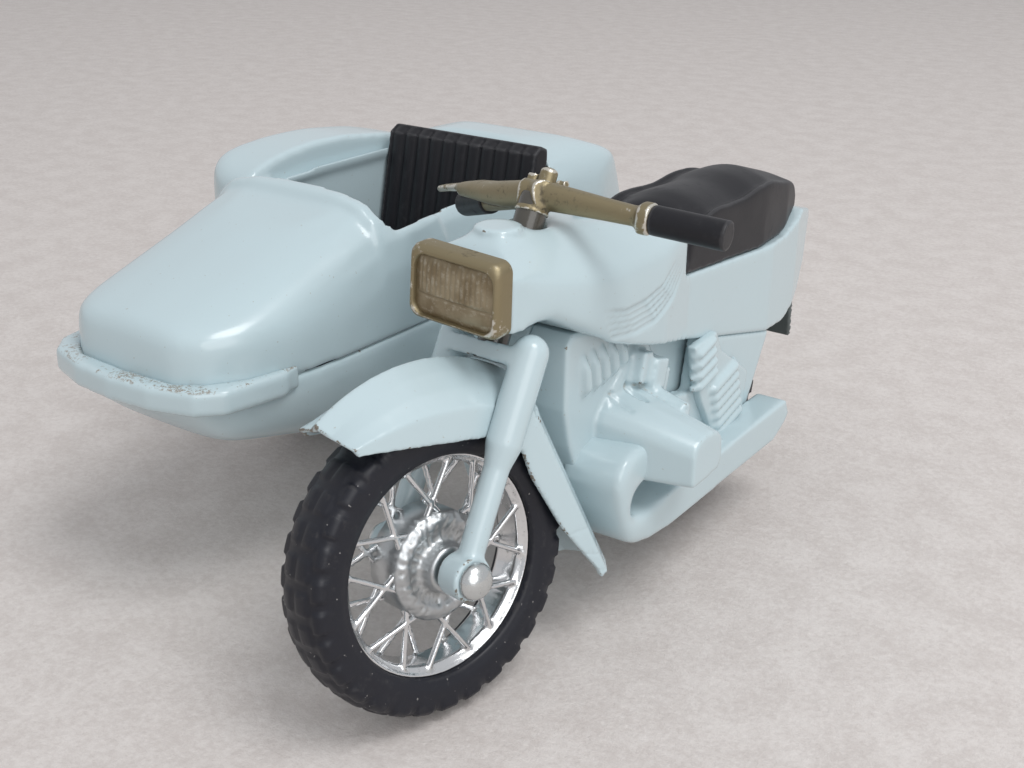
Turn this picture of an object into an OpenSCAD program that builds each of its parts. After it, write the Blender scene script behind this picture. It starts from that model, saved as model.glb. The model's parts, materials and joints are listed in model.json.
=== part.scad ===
// Small toy motorcycle with a sidecar on its right-hand side, in millimetres.
// The front points towards -Y, +Z is up, and the floor is the plane z = 0.
// It is drawn with the bike's centre plane at x = 0 and its front axle above y = 0,
// and placed() then moves the origin under the middle of the whole toy.

/* [Wheels] */
// Outside diameter of each tyre
tyre_d = 28; // [26:0.5:30]
// Width of each tyre
tyre_w = 5.8; // [5:0.2:6.4]
// Radius of the rim where the tyre's bead ends
rim_r = 10; // [9:0.25:10.5]
// Radius of the brake drum in the hub
drum_r = 4.9; // [4:0.1:5.5]
// Width of the hub across both faces
hub_w = 6.4; // [5.8:0.2:6.8]
// Distance between the front and the rear axle
wheelbase = 46; // [45:0.5:50]
// Radius of the three steel axles
axle_r = 0.9; // [0.7:0.05:1.1]
// Radial running clearance of a wheel on its axle
axle_play = 0.05; // [0.02:0.01:0.1]

/* [Steering] */
// Angle of the steering head from the vertical
rake = 28.5; // [26:0.5:30]
// How far the fork is turned to the rider's right when the toy stands
steer = 15; // [0:1:20]
// Distance of each fork leg from the wheel's centre plane
leg_x = 5; // [4.8:0.1:5.6]
// Radius of the lower fork legs
leg_r = 1.15; // [1:0.05:1.3]
// Radius of the upper fork legs
leg_top_r = 1.6; // [1.4:0.05:1.8]
// Height of the crown's top above the mudguard's ridge, along the steering axis
crown_rise = 1.6; // [1.4:0.1:2]
// Distance along the steering axis from the crown to the handlebar
bar_rise = 13.6; // [13.4:0.1:14.2]
// Radius of the steering stem
stem_r = 1.4; // [1.2:0.05:1.6]
// Distance of each grip's outer end from the centre, along the handlebar
bar_l = 18; // [16:0.5:20]
// Length of each black grip
grip_l = 6.8; // [5:0.2:8]
// Radius of each grip
grip_r = 1.3; // [1.2:0.05:1.5]
// Sweep of the handlebar towards the rider
bar_sweep = 18; // [10:1:20]
// Droop of the handlebar towards its ends
bar_droop = 10; // [6:1:12]

/* [Front mudguard] */
// Gap between the tyre and the outside of the mudguard's ridge
guard_gap = 4; // [3.6:0.1:4.2]
// Distance of the mudguard's flank from the side of the tyre
guard_side = 1.2; // [1:0.05:1.3]
// Thickness of the mudguard's sheet
guard_t = 0.6; // [0.5:0.05:0.8]

/* [Bike body] */
// Height of the top of the tank
tank_z = 41.5; // [41:0.1:42]
// Half width of the tank
tank_w = 7.2; // [6.6:0.1:7.6]
// Half width of the seat's base
seat_w = 6; // [5.6:0.1:6.4]
// Height of the seat's lower face
seat_z = 32.4; // [32:0.1:33]
// Height of the rear hump of the seat
seat_top = 39; // [38.4:0.2:40]
// Length of the seat
seat_l = 32; // [29:0.5:34]
// Position of the seat's flat front face
seat_y = 33.4; // [33:0.2:34]
// Length of the tail behind the rear axle
tail_l = 28.5; // [27.5:0.5:30]
// Half width of the headlight
lamp_w = 4.7; // [4.4:0.1:4.9]
// Height of the headlight
lamp_h = 6.6; // [6:0.2:6.8]
// Depth of the headlight's bezel
lamp_d = 2; // [1.6:0.1:2.4]

/* [Engine] */
// Distance of the cylinder's outer end from the centre plane
cyl_x = 14; // [13:0.25:14.5]
// Width of the exhaust pipe
pipe_w = 3.8; // [3.4:0.1:4.2]
// Distance of the exhaust's centre line from the centre plane
pipe_x = 7.8; // [7.8:0.1:9]
// Length of the silencer behind the rear axle
pipe_over = 8; // [7:0.25:9]

/* [Sidecar] */
// Distance from the bike's centre plane to the near side of the sidecar
car_near = 20; // [19.6:0.2:21]
// Width of the sidecar's body
car_w = 25.2; // [25:0.2:26.4]
// Position of the sidecar's nose
car_nose = -4.8; // [-6:0.2:-3]
// Position of the sidecar's tail
car_tail = 70.5; // [69:0.5:72]
// Height of the seam between the upper and the lower shell
seam_z = 24.4; // [23.8:0.2:25]
// Height of the underside of the sidecar
pan_z = 10; // [9:0.25:11]
// Height of the lip above the cockpit's front edge
lip_z = 38.8; // [38:0.2:39.4]
// Wall thickness of both shells
wall = 1; // [0.8:0.05:1.2]
// Width of the mudguard that is part of the sidecar's shell
fender_w = 9.6; // [9.2:0.2:10.4]
// Position of the sidecar's axle
car_axle_y = 41; // [40:0.5:43]

/* [Hidden] */
$fn = 48;
e = 0.01;
fit_gap = 0.1;
stem_gap = 0.2;
wheel_r = tyre_d / 2;
// The body is drawn over a 28 mm tyre and rises with the top of a larger one
lift = tyre_d - 28;
axle_z = wheel_r - lift;
tail_y = wheelbase + tail_l;
pipe_end = wheelbase + pipe_over;
guard_r = wheel_r + guard_gap;
guard_w = tyre_w / 2 + guard_side;
crown_s = guard_r + crown_rise;
bar_s = crown_s + bar_rise;
bore_r = axle_r + axle_play;
head_r = axle_r + 0.8;
head_l = 1.3;
leg_out = leg_x + 1.35;
seat_end = seat_y + seat_l;
car_far = car_near + car_w;
car_mid = car_near + car_w / 2;
bumper_h = 2.3;
wheel_x = car_far + fender_w / 2 - wall / 2;
arch_r = wheel_r + 2.4;
car_arch_r = wheel_r + 3.2;
arch_w = tyre_w / 2 + 1;
opening_front = 20;
opening_back = 50.1;
lamp_y = 5.6;
lamp_z = 34.3 + lamp_h / 2;

// The steering axis, and where a turn of the fork takes a direction
head_axis = [0, sin(rake), cos(rake)];
function turned(v) = v * cos(steer) - cross(head_axis, v) * sin(steer)
    + head_axis * (head_axis * v) * (1 - cos(steer));
axle_dir = turned([1, 0, 0]);
crown_half = tyre_w / 2 - 1.2;
front_z = wheel_r * norm([axle_dir[0], axle_dir[1]]) + crown_half * axle_dir[2];
bar_dir = turned([cos(bar_droop) * cos(bar_sweep), cos(bar_droop) * sin(bar_sweep), -sin(bar_droop)]);
left_edge = bar_l * bar_dir[0] + grip_r * sqrt(1 - bar_dir[0] * bar_dir[0]);
front_edge = -wheel_r * norm([axle_dir[0], axle_dir[2]]) + crown_half * axle_dir[1];
mid_x = (left_edge - car_far - fender_w) / 2;
mid_y = (tail_y + front_edge) / 2;
box_y = 21.3;
box_len = 6.8;
box_z = 15.6;
box_h = 6;
pipe_z = 8.9;
pipe_h = 3.9;
arm_r = 1.2;
front_arm = [31, 19];
rear_arm = [wheelbase + 5.6, axle_z + 3];
rim_half = tyre_w / 2 - 0.9;
plate_x = hub_w / 2 + 1.2;
plate_t = 1.4;
fin_h = 0.8;
block_top = 31.2;

paint = "#bcd8dc";
black = "#1c1c20";
gold = "#8a7650";
chrome = "#c8ccd0";
steel = "#b4b6b4";

// Points of an arc from angle a to angle b, seen along the part's own plane
function arc(c, r, a, b, n = 12) =
    [for (i = [0:n]) [c[0] + r * cos(a + (b - a) * i / n), c[1] + r * sin(a + (b - a) * i / n)]];

// A side view drawn in (y, z), extruded from x0 to x1
module side(x0, x1) {
    translate([x0, 0, 0]) rotate([90, 0, 90]) linear_extrude(x1 - x0) children();
}

// A shape drawn around the x axis, centred on it
module about_x() {
    rotate([0, 90, 0]) children();
}

// Moves the origin under the middle of the whole toy
module placed() {
    translate([-mid_x, -mid_y, 0]) children();
}

// The same for what stands above the wheels, drawn with the rear axle at axle_z
module raised() {
    placed() translate([0, 0, lift]) children();
}

// The steered assembly, drawn straight ahead with its axle at the origin
module steered() {
    translate([0, 0, front_z]) rotate(a = -steer, v = head_axis) children();
}

// The steering head, with +Z up along the steering axis
module on_head() {
    rotate([-rake, 0, 0]) children();
}

// ---- wheels ----

module tyre() {
    h = tyre_w / 2;
    d = wheel_r - rim_r;
    color(black) about_x() rotate_extrude($fn = 96) translate([rim_r, 0])
        polygon([[0, -rim_half], [0.3, -h + 0.3], [1.6, -h], [2.6, 0.4 - h], [d, -crown_half],
            [d, crown_half], [2.6, h - 0.4], [1.6, h], [0.3, h - 0.3], [0, rim_half]]);
}

spoke_pairs = 10;
spoke_t = 0.5;
spoke_lean = 34;
module spokes() {
    linear_extrude(spoke_t) difference() {
        intersection() {
            circle(rim_r - 0.3);
            for (i = [0:spoke_pairs - 1], s = [-1, 1])
                rotate(i * 360 / spoke_pairs) translate([drum_r - 1.2, 0]) rotate(s * spoke_lean)
                    translate([-1, -spoke_t / 2]) square([rim_r, spoke_t]);
        }
        circle(drum_r - 1);
    }
}

module rim() {
    color(chrome) difference() {
        union() {
            about_x() rotate_extrude($fn = 96) translate([rim_r - 0.9, -rim_half])
                square([0.9, 2 * rim_half]);
            about_x() cylinder(r = drum_r, h = 4, center = true);
            about_x() cylinder(r = 2.2, h = hub_w, center = true);
            for (s = [-1, 1]) translate([s * 1.4 - spoke_t / 2, 0, 0]) about_x() spokes();
        }
        about_x() cylinder(r = bore_r, h = hub_w + 2, center = true);
    }
}

// Steel pin between x0 and x1, with a domed head at each end where dome is its height
module pin(x0, x1, dome_0, dome_1) {
    function cap(x, dome, s) = dome == 0 ? [[axle_r, x]] :
        concat([[head_r, x]], [for (i = [1:6]) [head_r * cos(15 * i), x + s * dome * sin(15 * i)]]);
    color(steel) about_x() rotate_extrude() polygon(concat(
        [[0, x0 - dome_0]], [for (i = [len(cap(x0, dome_0, -1)) - 1:-1:0]) if (cap(x0, dome_0, -1)[i][0] > e)
            cap(x0, dome_0, -1)[i]],
        dome_0 == 0 ? [] : [[axle_r, x0]], dome_1 == 0 ? [] : [[axle_r, x1]],
        [for (p = cap(x1, dome_1, 1)) if (p[0] > e) p], [[0, x1 + dome_1]]));
}

module front_tyre() placed() { steered() tyre(); }
module front_rim() placed() { steered() rim(); }
module front_axle() placed() { steered() pin(-leg_out, leg_out, head_l, head_l); }
module rear_tyre() placed() { translate([0, wheelbase, wheel_r]) tyre(); }
module rear_rim() placed() { translate([0, wheelbase, wheel_r]) rim(); }
module rear_axle() placed() {
    translate([0, wheelbase, wheel_r]) pin(-plate_x - plate_t, plate_x + plate_t, 0, 0);
}
module sidecar_tyre() placed() { translate([-wheel_x, car_axle_y, wheel_r]) tyre(); }
module sidecar_rim() placed() { translate([-wheel_x, car_axle_y, wheel_r]) rim(); }
module sidecar_axle() placed() {
    translate([-wheel_x, car_axle_y, wheel_r]) pin(-hub_w / 2 - 0.2, wheel_x - car_far + 2 * wall, head_l, 0);
}

// ---- fork, mudguard and handlebar ----

// Both fork legs with their axle bosses, joined by the crown under the headlight
module fork_casting() placed() {
    color(paint) steered() difference() {
        union() {
            for (s = [-1, 1]) translate([s * leg_x, 0, 0]) {
                on_head() {
                    cylinder(r = leg_r, h = 10);
                    translate([0, 0, 9.5]) cylinder(r1 = leg_r, r2 = leg_top_r, h = 2);
                    translate([0, 0, 11.5 - e]) cylinder(r = leg_top_r, h = crown_s - 11.5);
                    translate([0, 0, crown_s - e]) sphere(r = leg_top_r);
                }
                about_x() cylinder(r = 2, h = 2.5, center = true);
            }
            on_head() translate([-leg_x, -leg_top_r, guard_r + 0.1])
                cube([2 * leg_x, 2 * leg_top_r + 0.4, crown_s - guard_r]);
        }
        about_x() cylinder(r = axle_r + fit_gap / 2, h = 4 * leg_x, center = true);
        on_head() cylinder(r = stem_r + fit_gap / 2, h = 2 * crown_s);
    }
}

// Cross-section of the mudguard: a ridge, a crease on each flank and deep side skirts
function guard_half(r, w, skirt, ridge) = [[0, r - 1.9 + ridge], [w - 1.2, r - 1.9], [w, r - 3], [w, skirt]];
module guard_section(skirt, ridge) {
    outer = guard_half(guard_r, guard_w, skirt, ridge);
    inner = guard_half(guard_r - guard_t * 1.2, guard_w - guard_t, skirt - e, ridge);
    for (s = [-1, 1]) polygon([for (p = concat(outer, [for (i = [3:-1:0]) inner[i]])) [p[1], s * p[0]]]);
}

guard_front = 58;
guard_rear = 136;
skirt_r = wheel_r - 1.2;
flap_dip = 68;
flap_l = wheel_r + 5.5;
module front_mudguard() placed() {
    color(paint) steered() difference() {
        union() {
            about_x() rotate([0, 0, -90 - guard_rear])
                rotate_extrude(angle = guard_rear - guard_front, $fn = 96) guard_section(skirt_r, 1.9);
            translate([0, -guard_r * cos(guard_rear), guard_r * sin(guard_rear)])
                rotate([270 - flap_dip, 0, 0]) translate([0, guard_r, -0.8]) linear_extrude(flap_l + 0.8)
                    rotate(-90) guard_section(skirt_r + 0.6, 0.7);
        }
        for (s = [-1, 1]) translate([s * leg_x, 0, 0]) on_head()
            translate([0, 0, 9]) cylinder(r = leg_top_r + 0.02, h = 12);
    }
}

module steering_stem() placed() {
    color(paint) steered() on_head() translate([0, 0, guard_r + 0.1])
        cylinder(r = stem_r, h = bar_s - guard_r - 0.1);
}

// Places children on the handlebar's left (s = 1) or right (s = -1) half, along +Z
module on_bar(s, sweep = bar_sweep) {
    translate(bar_s * head_axis) rotate([0, 0, s * sweep])
        rotate([0, s * (90 + bar_droop), 0]) children();
}

bar_r = 1.1;
clamp_r = 1.9;
clamp_low = 1;
clamp_high = 1.25;
lever_sweep = 12;
paddle_w = 3;
paddle_t = 0.8;
collar_l = 1.1;
module handlebar() placed() {
    color(gold) steered() difference() {
        union() {
            for (s = [-1, 1]) on_bar(s) {
                translate([0, 0, 0.6]) cylinder(r = bar_r, h = bar_l - grip_l - 1);
                translate([0, 0, bar_l - grip_l - 1]) cylinder(r = grip_r - 0.5, h = grip_l + 0.2);
                translate([0, 0, bar_l - grip_l - collar_l]) cylinder(r = grip_r + 0.2, h = collar_l);
            }
            on_head() translate([0, 0, bar_s - clamp_low]) cylinder(r = clamp_r, h = clamp_low + clamp_high);
            on_bar(-1) translate([0, -paddle_w / 2, 3]) cube([grip_r + 0.1 + paddle_t, paddle_w, bar_l - grip_l - 3.2]);
            on_bar(-1, lever_sweep) translate([grip_r + 0.1, -paddle_w / 2, 4]) cube([paddle_t, paddle_w, bar_l - 6.5]);
            on_bar(-1, lever_sweep) translate([grip_r + 0.2, -paddle_w / 4, 8]) cube([paddle_t - 0.2, paddle_w / 2, bar_l - 6.8]);
        }
        on_head() translate([0, 0, bar_s - 3]) cylinder(r = stem_r + fit_gap / 2, h = 3 + fit_gap / 2);
    }
}

module grip(s) {
    color(black) steered() on_bar(s) translate([0, 0, bar_l - grip_l]) difference() {
        cylinder(r = grip_r, h = grip_l);
        translate([0, 0, -e]) cylinder(r = grip_r - 0.5 + 0.02, h = grip_l - 0.7);
    }
}
module grip_left() placed() { grip(1); }
module grip_right() placed() { grip(-1); }

// Three small dials on a common plate on top of the handlebar's clamp
module instrument_pods() placed() {
    color(gold) steered() on_head() translate([0, 0, bar_s + clamp_high]) {
        translate([-2.4, 0.4, 0]) cube([5.3, 2, 0.35]);
        for (x = [-1.5, 0.6]) translate([x, 1.5, 0.35 - e]) cylinder(r = 0.85, h = 0.9);
        translate([2.2, 1.5, 0.35 - e]) cylinder(r = 0.5, h = 0.6);
    }
}

// ---- body, seat and headlight ----

// Height of the body's lower edge above the rear frame
function under(y) = 24.8 - (y - 36.4) / 4;
body_side = concat([[lamp_y, 34.3], [lamp_y, 40.4]], arc([9.4, tank_z - 3.6], 3.6, 140, 85, 5),
    [[15, tank_z - 0.3], [21, tank_z - 1.1], [27, tank_z - 2.7], [seat_y, tank_z - 4.7],
    [seat_y, seat_z], [seat_y + 18, seat_z - 1.6], [seat_end - 7, seat_z - 1.8], [seat_end, seat_z - 0.4],
    [seat_end + 1, seat_z - 0.6], [tail_y - 2, 30.2], [tail_y, 28.8], [tail_y - 3.5, 26.4], [wheelbase + 20.4, 21.8], [wheelbase + 14, 19.8],
    [wheelbase + 8, under(wheelbase + 8)], [36.4, under(36.4)], [26, 27.6], [19, 29.8], [14.4, 32.2], [10.5, 34.2]]);

// Front view of the body, with its rounded shoulders
module body_front() {
    half = [[0, tank_z + 2], [1.8, tank_z + 2], [1.8, tank_z - 0.3], [3.6, tank_z - 1.3], [5.4, tank_z - 3.2],
        [tank_w - 0.4, tank_z - 5], [tank_w, tank_z - 8], [tank_w - 0.6, 15]];
    polygon(concat(half, [for (i = [len(half) - 1:-1:0]) [-half[i][0], half[i][1]]]));
}

module body_plan() {
    polygon(concat([[-lamp_w, lamp_y], [lamp_w, lamp_y], [6.2, 13], [tank_w, 20], [tank_w, 27],
        [seat_w, seat_y + 1], [seat_w, tail_y - 20.5], [5, tail_y - 11.5], [3.4, tail_y - 5.5], [1.4, tail_y]],
        [[-1.4, tail_y], [-3.4, tail_y - 5.5], [-5, tail_y - 11.5], [-seat_w, tail_y - 20.5], [-seat_w, seat_y + 1], [-tank_w, 27],
        [-tank_w, 20], [-6.2, 13]]));
}

module body_shell() raised() {
    color(paint) difference() {
        union() {
            intersection() {
                side(-tank_w, tank_w) polygon(body_side);
                translate([0, 0, 15]) linear_extrude(35) body_plan();
                rotate([90, 0, 0]) translate([0, 0, -tail_y - 1]) linear_extrude(tail_y + 1) body_front();
            }
            translate([0, 10.1, tank_z - 1.4]) cylinder(r = 2.1, h = 1.8);
            translate([0, 24.5, tank_z - 3.4]) cylinder(r1 = 1.4, r2 = 0.9, h = 2.9);
        }
        translate([0, 0, front_z - lift]) on_head() cylinder(r = stem_r + stem_gap, h = 60);
        translate([0, wheelbase, axle_z]) about_x() cylinder(r = arch_r, h = 2 * arch_w, center = true, $fn = 96);
        translate([-plate_x - fin_h - 0.15, 12, 20])
            cube([2 * (plate_x + fin_h + 0.15), 21, block_top - 20]);
    }
}

module motorcycle_seat() raised() {
    color(black) intersection() {
        side(-seat_w, seat_w) polygon([[seat_y + fit_gap, seat_z + fit_gap],
            [seat_y + fit_gap, tank_z - 4.9], [seat_y + 3, seat_top - 0.6], [seat_y + 6, seat_top],
            [seat_y + 13, seat_top - 0.4], [seat_y + 17, seat_top], [seat_y + 21, seat_top - 0.2],
            [seat_end - 4, seat_top - 2.2], [seat_end - 0.5, seat_top - 3.6], [seat_end, seat_z + 1.4],
            [seat_end - 0.1, seat_z - 0.3], [seat_end - 7, seat_z - 1.7], [seat_y + 18, seat_z - 1.5]]);
        translate([0, 0, seat_z - 4]) linear_extrude(15) polygon([[-seat_w, seat_y], [seat_w, seat_y],
            [seat_w - 0.4, 52], [4.6, 60], [3.2, seat_end], [-3.2, seat_end], [-4.6, 60], [0.4 - seat_w, 52]]);
    }
}

module lamp_face(inset) {
    w = lamp_w - inset;
    h = lamp_h / 2 - inset;
    c = 1.1;
    polygon([[-w, -h + c], [-w + c, -h], [w - c, -h], [w, -h + c], [w, h - c], [w - c, h],
        [-w + c, h], [-w, h - c]]);
}
module headlight_bezel() raised() {
    color(gold) translate([0, lamp_y, lamp_z]) rotate([90, 0, 0]) difference() {
        linear_extrude(lamp_d) lamp_face(0);
        translate([0, 0, 0.6]) linear_extrude(lamp_d) lamp_face(0.6);
    }
}
module headlight_lens() raised() {
    color("#8c7c60") translate([0, lamp_y - 0.6 - e, lamp_z]) rotate([90, 0, 0])
        linear_extrude(lamp_d - 0.9) lamp_face(0.6 + 0.03);
}

// ---- engine, exhausts and rear frame ----

// Left half of the engine casting: crankcase, finned block, flat cylinder and carburettor
fin_n = 6;
module engine_half() {
    color(paint) {
        difference() {
            side(0, plate_x) polygon([[19, 11.6], [20.6, 10], [32, 10], [33, 13], [33, 20], [30, 24],
                [24, block_top - 0.2], [23, block_top], [15.6, block_top], [14.6, 30.2], [14.6, 24],
                [15.6, 20], [17.2, 16]]);
            translate([0, wheelbase, axle_z]) about_x() cylinder(r = wheel_r + 0.7, h = tyre_w + 1.2, center = true);
        }
        for (i = [0:fin_n - 1]) translate([plate_x - e, 14.2 + i * 1.35, 24.2 + i * 0.35])
            rotate([-14, 0, 0]) cube([fin_h, 0.6, 4.6]);
        side(plate_x - e, cyl_x) polygon(concat([[box_y, box_z], [box_y, box_z + box_h - 1]],
            arc([box_y + box_len - 2, box_z + box_h - 2], 2, 90, 0, 4),
            [[box_y + box_len, box_z + 0.6], [box_y + box_len - 0.8, box_z]]));
        translate([plate_x - e, 23.6, 22.4]) about_x() cylinder(r = 1.7, h = 2.6);
        translate([plate_x - e, 27, 22.6]) about_x() cylinder(r = 1.5, h = 3.4);
    }
}
module engine_left() raised() { engine_half(); }
module engine_right() raised() { mirror([1, 0, 0]) engine_half(); }

// Header pipe that leaves the cylinder's front, bends under it and ends in a flat silencer
module exhaust_half() {
    color(paint) side(pipe_x - pipe_w / 2, pipe_x + pipe_w / 2) polygon(concat(
        [[box_y, box_z - 0.05], [box_y, box_z + 3.8]],
        arc([18.6, box_z + 1.4], 2.6, 80, 170, 5),
        arc([20.8, pipe_z + 2.6], 2.6, 190, 270, 5),
        [[pipe_end - 3.5, pipe_z + 0.2], [pipe_end, pipe_z + 2.2], [pipe_end - 1, pipe_z + pipe_h + 0.4],
        [wheelbase - 2, pipe_z + pipe_h + 0.2], [27, pipe_z + pipe_h]],
        arc([21.6, pipe_z + pipe_h + 1.2], 1.2, 250, 170, 4)));
}
module exhaust_left() raised() { exhaust_half(); }
module exhaust_right() raised() { mirror([1, 0, 0]) exhaust_half(); }

// Plate beside the rear wheel that carries its axle and joins the engine to the tail
module rear_frame_half() {
    color(paint) difference() {
        side(plate_x, plate_x + plate_t) polygon([[32.4, 13], [34, 12.4], [wheelbase, axle_z - 2.4],
            [wheelbase + 4.4, axle_z - 2.2], [wheelbase + 9.2, under(wheelbase + 9.2)], [37.6, under(37.6)],
            [36.4, 19], [32.4, 19.6]]);
        translate([0, wheelbase, axle_z]) about_x() cylinder(r = axle_r + fit_gap / 2, h = 30);
    }
}
module rear_frame_left() raised() { rear_frame_half(); }
module rear_frame_right() raised() { mirror([1, 0, 0]) rear_frame_half(); }

shock_ribs = 6;
shock_top = [36.6, 23.8];
shock_l = 11;
shock_lean = 25;
module shock_half() {
    color(paint) translate([plate_x + plate_t + 0.02, shock_top[0], shock_top[1]]) intersection() {
        rotate([180 + shock_lean, 0, 0]) translate([0.4, 0, 0]) {
            cylinder(r = 1.6, h = shock_l);
            for (i = [0:shock_ribs - 1]) translate([0, 0, 0.6 + i * 1.8]) cylinder(r = 2.2, h = 0.9);
        }
        translate([0, -3, -15]) cube([6, 12, 20]);
    }
}
module shock_left() raised() { shock_half(); }
module shock_right() raised() { mirror([1, 0, 0]) shock_half(); }

// Dark strip over the rear wheel that ends in a short flap under the tail
strip_t = 0.7;
strip_gap = 0.06;
strip_front = 62;
strip_rear = 160;
module rear_mudguard() raised() {
    color("#5a6262") translate([0, wheelbase, axle_z]) {
        about_x() rotate([0, 0, -90 - strip_rear]) rotate_extrude(angle = strip_rear - strip_front, $fn = 96)
            translate([arch_r - strip_t - strip_gap, strip_gap - arch_w])
                square([strip_t, 2 * (arch_w - strip_gap)]);
        side(-2.4, 2.4) polygon([[14.6, 5.5], [15.2, 5.95], [20.4, 7.5], [23.6, 6.4], [24.4, 0.2],
            [23.6, 0.2], [22.8, 5.4], [20.2, 6.5], [15.4, 5], [14.8, 5]]);
    }
}

// ---- sidecar ----

module car_plan(inset) {
    half = [[6.5, car_nose + 0.4], [9, car_nose + 2], [11, car_nose + 5.2], [car_w / 2 - 0.5, car_nose + 10.5],
        [car_w / 2, car_nose + 16], [car_w / 2, 60], [car_w / 2 - 3, car_tail]];
    translate([-car_mid, 0]) offset_in(inset) polygon(concat([[0, car_nose]], half,
        [for (i = [len(half) - 1:-1:0]) [-half[i][0], half[i][1]]]));
}
module offset_in(inset) {
    if (inset == 0) children();
    else intersection_for(d = [[inset, inset], [inset, -inset], [-inset, inset], [-inset, -inset]])
        translate(d) children();
}

// Rounded front view, from its top or bottom at zero, extruded along a line in the side view
module run(from, to, up) {
    l = norm(to - from);
    w = car_w / 2;
    half = [[0, 0], [0.45 * w, -0.3], [0.72 * w, -1], [w - 1.6, -2.4], [w - 0.5, -4.4], [w, -7.4], [w, -40]];
    translate([-car_mid, from[0], from[1]]) rotate([90 + atan2(to[1] - from[1], to[0] - from[0]), 0, 0])
        translate([0, 0, -l]) linear_extrude(l) polygon([for (p = concat(half,
            [for (i = [len(half) - 1:-1:0]) [-half[i][0], half[i][1]]])) [p[0], up * p[1]]]);
}

nose_top = [car_nose + 1.4, 31.4];
cowl_top = [opening_front - 2, lip_z - 1.6];
module car_side_upper(inset) {
    polygon([[car_nose + inset, seam_z - (inset > 0 ? 5 : 0)], [car_nose + 0.5 + inset, 29.4 - inset],
        [nose_top[0] + inset, nose_top[1] - inset], [car_nose + 4, nose_top[1] + 1 - inset],
        [cowl_top[0], cowl_top[1] - inset],
        [opening_front - 1.2, lip_z - 0.4 - inset], [opening_front + 0.6, lip_z - inset],
        [opening_front + 1.2, 35 - inset], [46, 37 - inset], [opening_back, 38 - inset],
        [opening_back + 1.4, 38.7 - inset], [58, 38.2 - inset],
        [66, 35.4 - inset], [car_tail - 1 - inset, 30 - inset], [car_tail - inset, seam_z - (inset > 0 ? 5 : 0)]]);
}
module car_side_lower(inset) {
    polygon([[car_nose + 1 + inset, seam_z + (inset > 0 ? 5 : 0)], [car_nose + 1.4 + inset, 21.6],
        [car_nose + 3.4 + inset, 18.8 + inset], [keel_front[0], keel_front[1] + inset],
        [keel_back[0], keel_back[1] + inset], [60, pan_z + inset],
        [68 - inset, 15 + inset], [car_tail - inset, seam_z + (inset > 0 ? 5 : 0)]]);
}
keel_front = [1.5, 17];
keel_back = [28, pan_z];

fender_side = [[22.8, seam_z], [23, 33.6], [24, 35.7], [25.9, 36.8], [28.5, 37.6], [32, 38.2], [36.2, 38.5],
    [41.4, 38.3], [48.8, 37.3], [54.3, 36], [59, 33.4], [62, 30], [64.5, seam_z]];
corner_r = 7;
fender_arch = [[62, 14], [57.5, 14], [57, 20], [25, 20], [23, 18]];
module sidecar_shell() raised() {
    color(paint) difference() {
        union() {
            intersection() {
                side(-car_far, -car_near) car_side_upper(0);
                translate([0, 0, seam_z]) linear_extrude(20) car_plan(0);
                union() {
                    run(nose_top - [10, 4], cowl_top + [8, 3.2], 1);
                    run([opening_front - 1.6, lip_z], [car_tail + 1, lip_z], 1);
                }
            }
            intersection() {
                side(-car_far - fender_w, -car_far + e) polygon(concat(fender_side, fender_arch));
                rotate([90, 0, 0]) translate([-car_far, 0, -80]) linear_extrude(70) polygon(concat(
                    [[1, 10], [1, 39.2], [3.6 - fender_w, 39.2]],
                    [for (a = [0:15:90]) [3.6 * (1 - sin(a)) - fender_w, 35.4 + 3.6 * cos(a)]], [[-fender_w, 10]]));
                translate([-car_far, 22.8, 10]) linear_extrude(40) polygon(concat([[1, 0]],
                    [for (a = [0:15:90]) [corner_r * (1 - sin(a)) - fender_w, 1 + corner_r * (1 - cos(a))]],
                    [for (a = [90:-15:0]) [corner_r * (1 - sin(a)) - fender_w, 41.7 - corner_r * (1 - cos(a))]],
                    [[1, 41.7]]));
            }
        }
        intersection() {
            side(-car_far + wall, -car_near - wall) car_side_upper(wall);
            translate([0, 0, seam_z - 6]) linear_extrude(30) car_plan(wall);
            union() {
                run(nose_top - [10, 4 + 1.2 * wall], cowl_top + [8, 3.2 - 1.2 * wall], 1);
                run([opening_front - 1.6, lip_z - wall], [car_tail + 1, lip_z - wall], 1);
            }
        }
        translate([-car_far + wall + 0.5, opening_front + 0.3, seam_z + 4])
            cube([car_w - 2 * wall - 1, opening_back - opening_front - 0.3, 20]);
        translate([-wheel_x, car_axle_y, axle_z]) about_x()
            cylinder(r = car_arch_r, h = fender_w - 2 * wall, center = true, $fn = 96);
        translate([-wheel_x - fender_w, car_axle_y, axle_z]) about_x() cylinder(r = wheel_r - 0.6, h = fender_w);
        translate([-car_far - 0.02, 0, 0]) cube([1, car_tail, seam_z]);
    }
}

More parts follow.
